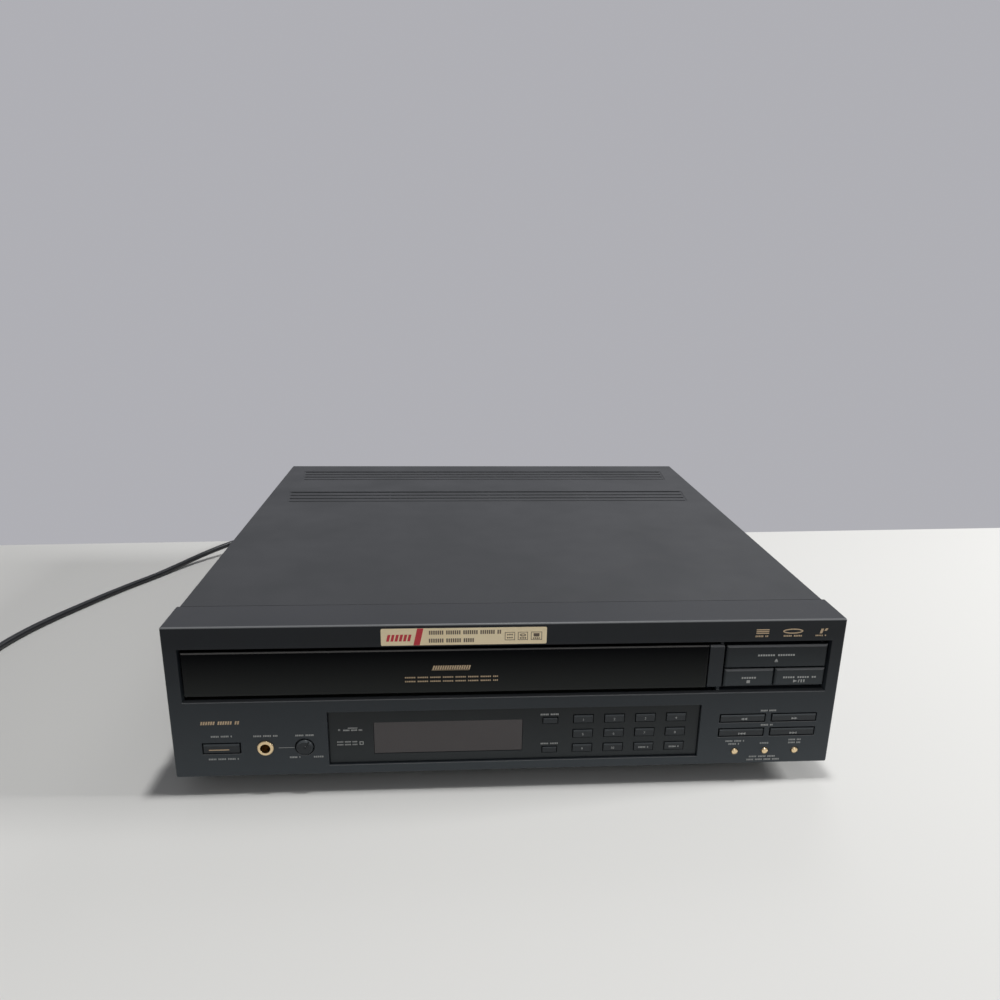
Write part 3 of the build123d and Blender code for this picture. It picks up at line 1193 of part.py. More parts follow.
def loading_belt():
    """The rubber belt between the motor's pulley and the loading gear."""
    inner = (PULLEY_GROOVE_RADIUS + BELT_CLEARANCE, MOTOR_PULLEY_GROOVE_RADIUS + BELT_CLEARANCE)
    outside = belt_loop(inner[0] + BELT_THICK, inner[1] + BELT_THICK)
    return extrude(outside - belt_loop(*inner), BELT_H[1] - BELT_H[0], dir=(0, 0, 1))


# Mechanism: spindle, clamper and pickup

def float_base():
    """The plate that lifts the spindle and the pickup, on four bushes."""
    x0 = SPINDLE_X
    span = (x0 - FLOAT_HALF, x0 + FLOAT_HALF)
    top = FLOAT_H + FLOAT_THICK
    base = block(span, depths(*FLOAT_DEPTHS), heights(FLOAT_H, top))
    for side in (-1, 1):
        flange = sorted((x0 + side * FLOAT_HALF, x0 + side * (FLOAT_HALF - FLOAT_THICK)))
        base += block(flange, depths(*FLOAT_DEPTHS), heights(top, top + FLOAT_FLANGE))
        ear = sorted((x0 + side * (TILT_HALF + TILT_EAR_THICK), x0 + side * (TILT_HALF + SEAT)))
        ear_y = depths(*around(TILT_PIVOT_DEPTH, 6 * TILT_PIN_RADIUS))
        pivot = block(ear, ear_y, heights(top, TILT_PIVOT_H + 2.5 * TILT_PIN_RADIUS))
        hole = (FRONT_Y + TILT_PIVOT_DEPTH, FOOT_GAP + TILT_PIVOT_H, TILT_PIN_RADIUS + RUNNING)
        base += pivot - disc_x(grown(ear, 1), *hole)
        for depth in LIFT_PIN_DEPTHS:
            x, y = x0 + side * LIFT_PIN_HALF, FRONT_Y + depth
            arm = sorted((x0 + side * (FLOAT_HALF - 1), x))
            base += block(arm, around(y, 2 * LIFT_BUSH_RADIUS), heights(FLOAT_H, top))
            base += disc_z(x, y, heights(*LIFT_BUSH_H), LIFT_BUSH_RADIUS)
            base -= disc_z(x, y, heights(*grown(LIFT_BUSH_H, 1)), LIFT_PIN_RADIUS + RUNNING)
    opening_x = (x0 - ROD_HALF, x0 + ROD_HALF)
    opening_y = depths(*grown(TILT_DEPTHS, -FLOAT_OPENING_INSET))
    return base - block(opening_x, opening_y, heights(FLOAT_H - 1, top + 1))


def spindle_motor():
    """The spindle motor's can, with the bearing boss round its shaft."""
    low, high = heights(*SPINDLE_MOTOR_H)
    boss_top = FOOT_GAP + TURNTABLE_TOP - TURNTABLE_THICK - TURNTABLE_HUB_RADIUS - SEAT
    edge = 2.0
    profile = [
        (0, low), (SPINDLE_MOTOR_RADIUS, low), (SPINDLE_MOTOR_RADIUS, high - edge),
        (SPINDLE_MOTOR_RADIUS - edge, high), (SPINDLE_NOSE_RADIUS, high),
        (SPINDLE_NOSE_RADIUS, boss_top), (0, boss_top),
    ]
    motor = turned(profile, SPINDLE_X, SPINDLE_Y)
    bore = (low + edge, boss_top + 1)
    return motor - disc_z(SPINDLE_X, SPINDLE_Y, bore, SPINDLE_SHAFT_RADIUS + RUNNING)


def turntable():
    """The turntable with its shaft, and stepped cones that centre both disc sizes."""
    top = FOOT_GAP + TURNTABLE_TOP
    under = top - TURNTABLE_THICK
    hub_low = under - TURNTABLE_HUB_RADIUS
    shaft_end = FOOT_GAP + SPINDLE_MOTOR_H[0] + 3.0
    large_low, large_high, large_tall = LARGE_CONE
    small_low, small_high, small_tall = SMALL_CONE
    profile = [
        (0, shaft_end), (SPINDLE_SHAFT_RADIUS, shaft_end), (SPINDLE_SHAFT_RADIUS, hub_low),
        (TURNTABLE_HUB_RADIUS, hub_low), (TURNTABLE_HUB_RADIUS, under), (TURNTABLE_RADIUS, under),
        (TURNTABLE_RADIUS, top), (large_low, top), (large_high, top + large_tall),
        (small_low, top + large_tall), (small_high, top + large_tall + small_tall),
        (0, top + large_tall + small_tall),
    ]
    return turned(profile, SPINDLE_X, SPINDLE_Y)


def clamper():
    """The free-turning puck that presses the disc on the turntable."""
    low, shoulder = heights(*CLAMPER_H)
    top = FOOT_GAP + CLAMPER_TOP
    recess_radius, recess_deep = CLAMPER_RECESS
    socket_radius, socket_deep = CLAMPER_SOCKET
    profile = [
        (0, low + socket_deep), (socket_radius, low + socket_deep), (socket_radius, low + recess_deep),
        (recess_radius, low + recess_deep), (recess_radius, low), (CLAMPER_RADIUS, low),
        (CLAMPER_RADIUS, shoulder), (CLAMPER_NECK_RADIUS, shoulder),
        (CLAMPER_NECK_RADIUS, top - CLAMPER_CAP_THICK), (CLAMPER_CAP_RADIUS, top - CLAMPER_CAP_THICK),
        (CLAMPER_CAP_RADIUS, top), (0, top),
    ]
    return turned(profile, SPINDLE_X, SPINDLE_Y)


def clamp_arm():
    """The hinged arm that carries the clamper over the tray."""
    x0 = SPINDLE_X
    top = FOOT_GAP + CLAMPER_TOP - CLAMPER_CAP_THICK - SEAT
    plate_z = (top - ARM_THICK, top)
    pivot_y = FRONT_Y + ARM_PIVOT_DEPTH
    neck_half = ARM_HEAD_RADIUS
    outline = [
        (x0 - ARM_REAR_HALF, pivot_y), (x0 - neck_half, SPINDLE_Y), (x0 + neck_half, SPINDLE_Y),
        (x0 + ARM_REAR_HALF, pivot_y),
    ]
    arm = upright(outline, plate_z) + disc_z(x0, SPINDLE_Y, plate_z, ARM_HEAD_RADIUS)
    for side in (-1, 1):
        rib = [
            (x0 + side * ARM_REAR_HALF, pivot_y), (x0 + side * neck_half, SPINDLE_Y),
            (x0 + side * (neck_half - ARM_THICK), SPINDLE_Y),
            (x0 + side * (ARM_REAR_HALF - ARM_THICK), pivot_y),
        ]
        arm += upright(rib, (top, top + ARM_RIB))
    barrel_x = (x0 - ARM_REAR_HALF, x0 + ARM_REAR_HALF)
    barrel_z = (plate_z[0], FOOT_GAP + ARM_PIVOT_H + ARM_PIN_RADIUS)
    arm += block(barrel_x, around(pivot_y, 3 * ARM_PIN_RADIUS), barrel_z)
    pin_reach = SEAT + 1.4 * ARM_POST_THICK
    arm += disc_x(grown(barrel_x, pin_reach), pivot_y, FOOT_GAP + ARM_PIVOT_H, ARM_PIN_RADIUS)
    arm -= disc_z(x0, SPINDLE_Y, grown(plate_z, 1), CLAMPER_NECK_RADIUS + ARM_NECK_GAP)
    for behind in ARM_HOLES:
        arm -= disc_z(x0, SPINDLE_Y + behind, grown(plate_z, 1), 0.5 * ARM_HEAD_RADIUS)
    return arm


def tilt_frame():
    """The pickup's frame: side rails, cross members and the two guide rods."""
    x0 = SPINDLE_X
    outer = (x0 - TILT_HALF, x0 + TILT_HALF)
    near, far = TILT_DEPTHS
    frame_z = heights(*TILT_H)
    frame = block(outer, depths(near, far), frame_z)
    inner = grown(outer, -TILT_RAIL)
    frame -= block(inner, depths(near + TILT_CROSS, far - TILT_CROSS), grown(frame_z, 1))
    screw_x = x0 + SCREW_OFFSET
    for cross in ((near, near + TILT_CROSS), (far - TILT_CROSS, far)):
        for x in (x0 - ROD_HALF, x0 + ROD_HALF, screw_x):
            ear = block(around(x, 4 * SIDE_ROD_RADIUS), depths(*cross), heights(TILT_H[0], ROD_EAR_TOP))
            frame += ear
        hole = depths(cross[0] - 1, cross[1] + 1)
        frame -= disc_y(screw_x, hole, FOOT_GAP + ROD_H, FEED_SCREW_RADIUS + RUNNING)
    for side in (-1, 1):
        pin = sorted((x0 + side * TILT_HALF, x0 + side * (TILT_HALF + TILT_PIN_REACH / 2)))
        frame += disc_x(pin, FRONT_Y + TILT_PIVOT_DEPTH, FOOT_GAP + TILT_PIVOT_H, TILT_PIN_RADIUS)
    rods = []
    for x, radius in ((x0 - ROD_HALF, ROD_RADIUS), (x0 + ROD_HALF, SIDE_ROD_RADIUS)):
        rods.append(disc_y(x, depths(near, far), FOOT_GAP + ROD_H, radius))
        frame -= disc_y(x, depths(near - 1, far + 1), FOOT_GAP + ROD_H, radius)
    return Compound(children=[frame, *rods])


def pickup_carriage():
    """The carriage on the rods, with a nose that holds the lens close to the hub."""
    x0 = SPINDLE_X
    lens_y = SPINDLE_Y + LENS_START
    body_y = (lens_y - CARRIAGE_LEAD, lens_y - CARRIAGE_LEAD + CARRIAGE_LENGTH)
    body_z = heights(*CARRIAGE_H)
    reach = SCREW_OFFSET + 2 * FEED_SCREW_RADIUS - 1.0
    body = block((x0 - CARRIAGE_HALF, x0 + CARRIAGE_HALF), body_y, body_z)
    nut_y = (body_y[0] + SCREW_NUT[0], body_y[0] + SCREW_NUT[1])
    body += block((x0 + CARRIAGE_HALF - 1, x0 + reach), nut_y, body_z)
    nose_y = (lens_y - NOSE_REACH, body_y[1] - NOSE_SET_BACK)
    nose = block((x0 - NOSE_HALF, x0 + NOSE_HALF), nose_y, (body_z[1], FOOT_GAP + NOSE_TOP))
    nose = fillet(nose.edges().filter_by(Axis.Z).sort_by(Axis.Y)[:2], NOSE_REACH - 1.5)
    body += nose
    whole = grown(body_y, 1)
    body -= disc_y(x0 - ROD_HALF, whole, FOOT_GAP + ROD_H, ROD_RADIUS + RUNNING)
    body -= disc_y(x0 + ROD_HALF, whole, FOOT_GAP + ROD_H, SIDE_ROD_RADIUS + RUNNING)
    body -= disc_y(x0 + SCREW_OFFSET, whole, FOOT_GAP + ROD_H, FEED_SCREW_RADIUS + RUNNING)
    well_z = heights(NOSE_TOP - LENS_WELL, NOSE_TOP + 1)
    return body - disc_z(x0, lens_y, well_z, LENS_HOLDER_RADIUS + SEAT)


def objective_lens():
    """The lens in its holder, which moves up and down to focus."""
    lens_y = SPINDLE_Y + LENS_START
    low = FOOT_GAP + NOSE_TOP - LENS_WELL + LENS_TRAVEL + SHEET_FIT
    high = FOOT_GAP + NOSE_TOP + LENS_STAND
    profile = [
        (0, low), (LENS_HOLDER_RADIUS, low), (LENS_HOLDER_RADIUS, high - 1.0), (LENS_RADIUS, high - 0.4),
        (0.8 * LENS_RADIUS, high - 0.3), (0.4 * LENS_RADIUS, high), (0, high),
    ]
    return turned(profile, SPINDLE_X, lens_y)


def feed_screw():
    """The screw that drives the carriage along the rods."""
    x, z = SPINDLE_X + SCREW_OFFSET, FOOT_GAP + ROD_H
    y = depths(TILT_DEPTHS[0] - FEED_MOTOR_LENGTH / 2, TILT_DEPTHS[1])
    return disc_y(x, y, z, FEED_SCREW_RADIUS)


def carriage_motor():
    """The feed motor in line with the screw, on the tilting frame."""
    x, z = SPINDLE_X + SCREW_OFFSET, FOOT_GAP + ROD_H
    y = depths(TILT_DEPTHS[0] - FEED_MOTOR_LENGTH, TILT_DEPTHS[0])
    can = disc_y(x, y, z, FEED_MOTOR_RADIUS)
    can = fillet(can.edges().filter_by(GeomType.CIRCLE).sort_by(Axis.Y)[0], 1.0)
    return can - disc_y(x, (y[0] + FEED_MOTOR_LENGTH / 3, y[1] + 1), z, FEED_SCREW_RADIUS + RUNNING)


# Mains cord

def cord_gland():
    """The strain relief of the cord: a bush in the rear panel with a ribbed, tapered sleeve."""
    inner = FRONT_Y + REAR_PLATE_DEPTHS[0]
    outer = FRONT_Y + REAR_PLATE_DEPTHS[1]
    wide, narrow, length = GLAND_SLEEVE
    root = outer + GLAND_FLANGE_THICK
    end = cord_start_y()
    profile = [
        (0, inner - GLAND_FLANGE_THICK), (GLAND_NECK_RADIUS + 1.5, inner - GLAND_FLANGE_THICK),
        (GLAND_NECK_RADIUS + 1.5, inner), (GLAND_NECK_RADIUS, inner), (GLAND_NECK_RADIUS, outer),
        (GLAND_FLANGE_RADIUS, outer), (GLAND_FLANGE_RADIUS, root - 1), (GLAND_FLANGE_RADIUS - 1, root),
    ]
    step = (end - root) / (2 * GLAND_RIBS)
    for rib in range(GLAND_RIBS):
        for edge, inset in ((2 * rib, 0), (2 * rib + 1, 0), (2 * rib + 1, 0.8), (2 * rib + 2, 0.8)):
            radius = wide + (narrow - wide) * edge / (2 * GLAND_RIBS) - inset
            profile.append((radius, root + edge * step))
    profile.append((0, end))
    return turned_y(profile, CORD_X, FOOT_GAP + CORD_H)


def cord_start_y():
    """Where the cord comes out of its strain relief."""
    return FRONT_Y + REAR_PLATE_DEPTHS[1] + GLAND_FLANGE_THICK + GLAND_SLEEVE[2]


def cord_points(route):
    """The points of a route in the object's own frame."""
    return [(x, FRONT_Y + depth, z) for x, depth, z in route]


def mains_route():
    """The free cord's points, from its strain relief to the coil."""
    start, z = cord_start_y(), FOOT_GAP + CORD_H
    return [(CORD_X, start, z), (CORD_X, start + CORD_LEAD, z), *cord_points(CORD_ROUTE)]


def cord_radii(points):
    """The radius of each corner: 0.45 of its shorter run over the tangent of half its turn."""
    radii = []
    for before, corner, after in zip(points, points[1:], points[2:]):
        into, out = Vector(corner) - Vector(before), Vector(after) - Vector(corner)
        half_turn = math.radians(into.get_angle(out)) / 2
        radii.append(0.45 * min(into.length, out.length) / math.tan(half_turn))
    return radii


def cord_stretch(route):
    """One free stretch of the cord, as runs joined by tangent arcs."""
    radii = cord_radii(route)
    path = FilletPolyline(*route, radius=radii)
    cord = sweep(Plane(route[0], z_dir=path % 0) * Circle(CORD_DIAMETER / 2), path=path)
    section = math.pi * CORD_DIAMETER ** 2 / 4
    print("cord: length", round(path.length, 1), "radii", [round(r) for r in radii])
    print("cord: volume over section and length", round(cord.volume / (section * path.length), 4))
    return cord


def power_cord():
    """The free cord: from its strain relief to the coil, and from the coil to the plug."""
    return Compound(children=[cord_stretch(mains_route()), cord_stretch(cord_points(TAIL_ROUTE))])


def coil_point(turn):
    """A point of the coil's middle line: in along the lower layer, and out along the upper."""
    half, reversal = COIL_TURNS / 2, 0.25
    past = turn - half
    inner = COIL_RADIUS - COIL_PITCH * half
    if abs(past) > reversal:
        radius = inner + COIL_PITCH * abs(past)
        rise = 0.0 if past < 0 else 1.0
    else:
        radius = inner + COIL_PITCH * (past ** 2 / (2 * reversal) + reversal / 2)
        rise = 0.5 + 0.5 * math.sin(math.pi * past / (2 * reversal))
    angle = -2 * math.pi * turn
    x = COIL_CENTRE[0] + radius * math.cos(angle)
    y = FRONT_Y + COIL_CENTRE[1] + radius * math.sin(angle)
    return Vector(x, y, FLOOR_CORD_Z + COIL_LAYER * rise)


def coil_heading(turn):
    """The direction of the coil's middle line."""
    step = 1e-4
    return (coil_point(turn + step) - coil_point(turn - step)).normalized()


def biarc(start, start_way, end, end_way):
    """Two arcs that join two points and keep both directions."""
    chord, ways = end - start, start_way + end_way
    square = 2 * (1 - start_way.dot(end_way))
    reach = (math.sqrt(chord.dot(ways) ** 2 + square * chord.dot(chord)) - chord.dot(ways)) / square
    joint = (start + end + (start_way - end_way) * reach) * 0.5
    joint_way = (end - end_way * reach - start - start_way * reach).normalized()
    return [TangentArc(start, joint, tangent=start_way), TangentArc(joint, end, tangent=joint_way)]


def coil_path():
    """The coil's middle line: quarter turns as pairs of arcs, with a straight run at each end."""
    steps = 4 * COIL_TURNS
    turns = [index / 4 for index in range(steps + 1)]
    points = [coil_point(turn) for turn in turns]
    ways = [coil_heading(turn) for turn in turns]
    ways[0] = ways[-1] = Vector(0, -1, 0)
    edges = [Line(points[0] - ways[0] * CORD_DIAMETER, points[0])]
    for index in range(steps):
        edges += biarc(points[index], ways[index], points[index + 1], ways[index + 1])
    edges.append(Line(points[-1], points[-1] + ways[-1] * CORD_DIAMETER))
    return Wire([edge for arc in edges for edge in arc.edges()])


def least_gap(path):
    """The least gap between a wound cord and itself, measured on points along its line."""
    count = round(path.length / (CORD_DIAMETER / 3))
    points = [path @ (index / count) for index in range(count + 1)]
    apart = round(4 * CORD_DIAMETER / (path.length / count))
    least = min(
        (points[a] - points[b]).length
        for a in range(len(points))
        for b in range(a + apart, len(points))
    )
    return least - CORD_DIAMETER


def cord_coil():
    """The put-away length of the cord, wound in two layers beside the player."""
    path = coil_path()
    start = path @ 0
    coil = sweep(Plane(start, z_dir=Vector(0, -1, 0)) * Circle(CORD_DIAMETER / 2), path=path)
    section = math.pi * CORD_DIAMETER ** 2 / 4
    print("coil: length", round(path.length, 1), "least gap", round(least_gap(path), 2))
    print("coil: volume over section and length", round(coil.volume / (section * path.length), 4))
    return coil


def cord_plug():
    """The two-blade plug on the end of the cord, lying on the floor."""
    end = Vector(cord_points(TAIL_ROUTE)[-1])
    nose_radius, nose_length = PLUG_NOSE
    half_thick = end.Z
    nose_end = end.Y - nose_length
    body_y = (nose_end - PLUG_LENGTH, nose_end)
    profile = [(0, end.Y), (nose_radius - 1.6, end.Y), (nose_radius, nose_end), (0, nose_end)]
    nose = turned_y(profile, end.X, end.Z)
    body = block(around(end.X, PLUG_WIDTH), body_y, (end.Z - half_thick, end.Z + half_thick))
    body = fillet(body.edges().filter_by(Axis.Y), 0.35 * half_thick)
    body = chamfer(body.faces().sort_by(Axis.Y)[-1].edges(), 2.0)
    width, thick, length = BLADE
    plug = nose + body
    for side in (-1, 1):
        blade_x = around(end.X + side * BLADE_GAP / 2, thick)
        plug += block(blade_x, (body_y[0] - length, body_y[0] + 1), around(end.Z, width))
    return plug


def parts():
    """Every sub-part by its name."""
    named = {
        "chassis_pan": chassis_pan(), "rear_panel": rear_panel(), "bonnet": bonnet(),
        "bonnet_screws": bonnet_screws(), "feet": feet(), "front_fascia": front_fascia(),
        "display_panel": display_panel(), "display_window": display_window(),
        "front_board": front_board(), "main_board": main_board(), "transformer": transformer(),
        "rear_jacks": rear_jacks(), "headphone_jack": headphone_jack(), "level_knob": level_knob(),
        "mech_deck": mech_deck(), "disc_tray": disc_tray(), "tray_front": tray_front(),
        "loading_motor": loading_motor(), "motor_pulley": motor_pulley(),
        "loading_belt": loading_belt(), "loading_gear": loading_gear(),
        "float_base": float_base(), "spindle_motor": spindle_motor(), "turntable": turntable(),
        "clamper": clamper(), "clamp_arm": clamp_arm(), "tilt_frame": tilt_frame(),
        "pickup_carriage": pickup_carriage(), "objective_lens": objective_lens(),
        "feed_screw": feed_screw(), "carriage_motor": carriage_motor(),
        "cord_gland": cord_gland(), "power_cord": power_cord(), "cord_coil": cord_coil(),
        "cord_plug": cord_plug(),
    }
    for name, place in panel_keys().items():
        named[name] = flat_key(place, DISPLAY_STEP - KEY_STAND, DISPLAY_BACK, KEY_GAP)
    for name, place in fascia_keys().items():
        named[name] = flat_key(place, -0.5 * KEY_STAND, PANEL_WALL, WIDE_KEY_GAP)
    for index, x in enumerate(ROUND_KEY_X):
        named[f"round_key_{index + 1}"] = round_key(x)
    for name, (x, height) in deck_keys().items():
        named[name] = deck_key(x, height)
    return named


os.makedirs("parts", exist_ok=True)
for name, solid in parts().items():
    export_step(solid, f"parts/{name}.step")
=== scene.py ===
# %% [markdown]
# # A full-size disc player, dressed for its picture
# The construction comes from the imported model: every moulding, sheet and key is already there at
# its real size, and stays as it is. This file sets the camera, the table and the light, gives each
# piece its finish, adds the prints and the sticker, and lays the mains cord.

# %% Load the frame
import math
import bpy
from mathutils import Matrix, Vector


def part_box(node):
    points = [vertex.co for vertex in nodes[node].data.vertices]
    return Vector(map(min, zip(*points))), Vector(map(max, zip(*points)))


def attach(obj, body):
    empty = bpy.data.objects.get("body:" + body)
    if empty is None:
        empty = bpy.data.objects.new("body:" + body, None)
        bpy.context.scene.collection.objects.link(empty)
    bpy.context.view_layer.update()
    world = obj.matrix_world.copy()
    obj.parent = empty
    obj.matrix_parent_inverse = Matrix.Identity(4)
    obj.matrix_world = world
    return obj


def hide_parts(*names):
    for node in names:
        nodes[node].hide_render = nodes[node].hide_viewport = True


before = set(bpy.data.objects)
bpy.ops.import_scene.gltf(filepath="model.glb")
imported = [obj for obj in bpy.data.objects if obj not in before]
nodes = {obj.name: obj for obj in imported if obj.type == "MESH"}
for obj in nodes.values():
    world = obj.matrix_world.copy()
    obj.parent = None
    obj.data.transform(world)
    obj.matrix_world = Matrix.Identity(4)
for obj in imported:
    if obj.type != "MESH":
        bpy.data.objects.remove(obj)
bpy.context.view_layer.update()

# %% [markdown]
# Sizes are easier to read in millimetres, and the front panel is easier to lay out from its own
# lower edge. So the places below are given as x from the middle, depth behind the panel's face and
# height above its lower edge, and one helper turns them into metres.

# %% Places in millimetres
MM = 0.001
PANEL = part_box("front_fascia")


def place(x, depth, height):
    """A point in metres from x, depth behind the panel's face and height, in millimetres."""
    return Vector((x * MM, PANEL[0].y + depth * MM, PANEL[0].z + height * MM))


print("panel's lower front edge", tuple(place(0, 0, 0)))

# %% [markdown]
# The camera stands where the photographer stood: just above the player, a little left of its
# middle, turned slightly to the right. Its place and angles were worked out from the corners of the
# case, and the lens from how fast the case narrows towards the back.

# %% Camera
CAMERA_PLACE = (-0.0384, -0.62805, 0.3191)
CAMERA_ANGLES = (73.66, -0.91, -3.64)
LENS = 27.67
SENSOR = 36.0

bpy.ops.object.camera_add(location=CAMERA_PLACE,
                          rotation=[math.radians(angle) for angle in CAMERA_ANGLES])
camera = bpy.context.object
camera.name = "camera"
camera.data.lens = LENS
camera.data.sensor_width = SENSOR
camera.data.clip_start = 0.01
bpy.context.scene.camera = camera
print("lens", camera.data.lens)

# %% [markdown]
# The player stands on a pale table whose back edge runs just behind it, with a plain grey wall
# beyond. The table is one plane: it is cut off along that edge with a bisect, and the world, which
# looks the wall's grey to the camera and to every gloss, does the rest. A wall of its own would
# hide the player from behind.

# %% Table
FLOOR_SIZE = 12.0
TABLE_BACK = (0.0, 0.2925, 0.0)
TABLE_TURN = 2.0
FLOOR_COLOUR = (0.70, 0.695, 0.675, 1.0)
FLOOR_ROUGHNESS = 0.7
FLOOR_SPECULAR = 0.2

bpy.ops.object.select_all(action="DESELECT")
bpy.ops.mesh.primitive_plane_add(size=FLOOR_SIZE, location=(0, 0, 0))
floor = bpy.context.object
floor.name = "table"
bpy.ops.object.mode_set(mode="EDIT")
bpy.ops.mesh.select_all(action="SELECT")
turn = math.radians(TABLE_TURN)
bpy.ops.mesh.bisect(plane_co=TABLE_BACK, plane_no=(-math.sin(turn), math.cos(turn), 0),
                    clear_outer=True)
bpy.ops.object.mode_set(mode="OBJECT")


def shader(name, colour, roughness, metallic=0.0):
    """A new material with a Principled shader, and that shader's node."""
    material = bpy.data.materials.new(name)
    material.use_nodes = True
    principled = material.node_tree.nodes["Principled BSDF"]
    principled.inputs["Base Color"].default_value = (*colour[:3], 1.0)
    principled.inputs["Roughness"].default_value = roughness
    principled.inputs["Metallic"].default_value = metallic
    return material, principled


table_top, table_shader = shader("table_top", FLOOR_COLOUR, FLOOR_ROUGHNESS)
table_shader.inputs["Specular IOR Level"].default_value = FLOOR_SPECULAR
floor.data.materials.append(table_top)
print("table", tuple(floor.dimensions))

# %% [markdown]
# The room has a lamp on the ceiling, straight above the player's front, and a window far to its
# right. The lamp draws the short dark shadow under the front edge, and the window the long soft one
# to the left. Both stand above or beside the front panel, so its edges catch the lamp as thin
# bright lines, which a painted highlight in the finishes strengthens. A weak lamp far behind lights
# the top cover, and a weak wide one in front of the player lifts the panel. The world fills what is
# left.

# %% Lamps and world
LAMPS = {
    "ceiling_lamp": ((0.12, -0.19, 1.95), 0.14, 19.0),
    "window": ((2.3, -0.12, 1.0), 0.45, 50.0),
    "far_lamp": ((0.9, 1.5, 1.9), 0.9, 5.0),
    "front_fill": ((0.5, -2.4, 1.3), 1.6, 5.0),
}
WORLD_COLOUR = (0.62, 0.63, 0.66, 1.0)
WORLD_LIGHT = 0.24
BACKDROP_COLOUR = (0.43, 0.43, 0.46, 1.0)
LAMP_AIM = Vector((0, 0, 0.05))


def lamp(name, spot, size, power):
    """A square area lamp that faces the middle of the player."""
    bpy.ops.object.light_add(type="AREA", location=spot)
    light = bpy.context.object
    light.name = name
    light.data.size = size
    light.data.energy = power
    light.rotation_euler = (LAMP_AIM - Vector(spot)).to_track_quat("-Z", "Y").to_euler()


for name, facts in LAMPS.items():
    lamp(name, *facts)
world = bpy.data.worlds.new("studio")
bpy.context.scene.world = world
world.use_nodes = True
tree = world.node_tree
light_path = tree.nodes.new("ShaderNodeLightPath")
seen = light_path.outputs["Is Camera Ray"]
for kind in ("Is Glossy Ray", "Is Transmission Ray"):
    either = tree.nodes.new("ShaderNodeMath")
    either.operation = "MAXIMUM"
    tree.links.new(seen, either.inputs[0])
    tree.links.new(light_path.outputs[kind], either.inputs[1])
    seen = either.outputs["Value"]
backdrop = tree.nodes.new("ShaderNodeBackground")
backdrop.inputs["Color"].default_value = BACKDROP_COLOUR
surroundings = tree.nodes["Background"]
surroundings.inputs["Color"].default_value = WORLD_COLOUR
surroundings.inputs["Strength"].default_value = WORLD_LIGHT
choice = tree.nodes.new("ShaderNodeMixShader")
tree.links.new(seen, choice.inputs["Fac"])
tree.links.new(surroundings.outputs["Background"], choice.inputs[1])
tree.links.new(backdrop.outputs["Background"], choice.inputs[2])
tree.links.new(choice.outputs["Shader"], tree.nodes["World Output"].inputs["Surface"])
bpy.context.scene.view_settings.view_transform = "Standard"

# %% [markdown]
# Finishes are built from a few habits. Fine noise in the bump makes paint and mouldings catch the
# light as they do; a slower noise shifts roughness where hands and cloths have been; a Bevel node
# rounds the edges of pressed and moulded parts by a few tenths, which no solid edge has; and
# sparse pale specks are the dust of a used machine.

# %% Noise, ranges and blends
def coordinates(tree):
    """The node that gives places in the object's own metres."""
    return tree.nodes.new("ShaderNodeTexCoord").outputs["Object"]


def noise(tree, scale, detail=2.0):
    """A noise at that many waves to the metre."""
    node = tree.nodes.new("ShaderNodeTexNoise")
    node.inputs["Scale"].default_value = scale
    node.inputs["Detail"].default_value = detail
    tree.links.new(coordinates(tree), node.inputs["Vector"])
    return node.outputs["Fac"]


def spread(tree, value, low, high, out_low, out_high):
    """Maps a value from one range to another, and holds it at the ends."""
    node = tree.nodes.new("ShaderNodeMapRange")
    for name, number in (("From Min", low), ("From Max", high),
                         ("To Min", out_low), ("To Max", out_high)):
        node.inputs[name].default_value = number
    tree.links.new(value, node.inputs["Value"])
    return node.outputs["Result"]


def blended(tree, amount, first, second):
    """A colour between two, which are colours or sockets."""
    node = tree.nodes.new("ShaderNodeMix")
    node.data_type = "RGBA"
    tree.links.new(amount, node.inputs["Factor"])
    for socket, colour in ((node.inputs["A"], first), (node.inputs["B"], second)):
        if isinstance(colour, bpy.types.NodeSocket):
            tree.links.new(colour, socket)
        else:
            socket.default_value = (*colour[:3], 1.0)
    return node.outputs["Result"]


def product(tree, first, second):
    """Two values multiplied."""
    node = tree.nodes.new("ShaderNodeMath")
    node.operation = "MULTIPLY"
    tree.links.new(first, node.inputs[0])
    tree.links.new(second, node.inputs[1])
    return node.outputs["Value"]


def along(tree, vector, axis):
    """One axis of a vector."""
    axes = tree.nodes.new("ShaderNodeSeparateXYZ")
    tree.links.new(vector, axes.inputs["Vector"])
    return axes.outputs[axis]


print("noise, ranges and blends ready")

# %% [markdown]
# The habits themselves: grain, handling, dust, painted light that pales a part's colour towards its
# foot or its top, and a painted highlight along its upper front edges.

# %% Habits that the finishes share
GRAIN_DETAIL = 3.0
EDGE_SAMPLES = 6
HIGHLIGHT_SAMPLES = 8
HIGHLIGHT_FACING = (-0.12, -0.42)
HANDLED_NOISE = (0.35, 0.65)
COLOUR_NOISE = (0.3, 0.7)
SPECK_CORE = 0.6


def grained(material, principled, scale, height, edge=0.0):
    """Gives a finish its fine grain, and soft edges where edge is set."""
    tree = material.node_tree
    bump = tree.nodes.new("ShaderNodeBump")
    bump.inputs["Distance"].default_value = height
    tree.links.new(noise(tree, scale, GRAIN_DETAIL), bump.inputs["Height"])
    if edge:
        bevel = tree.nodes.new("ShaderNodeBevel")
        bevel.samples = EDGE_SAMPLES
        bevel.inputs["Radius"].default_value = edge
        tree.links.new(bevel.outputs["Normal"], bump.inputs["Normal"])
    tree.links.new(bump.outputs["Normal"], principled.inputs["Normal"])


def handled(material, principled, scale, low, high):
    """Lets the roughness wander between two values."""
    tree = material.node_tree
    amount = spread(tree, noise(tree, scale), *HANDLED_NOISE, low, high)
    tree.links.new(amount, principled.inputs["Roughness"])


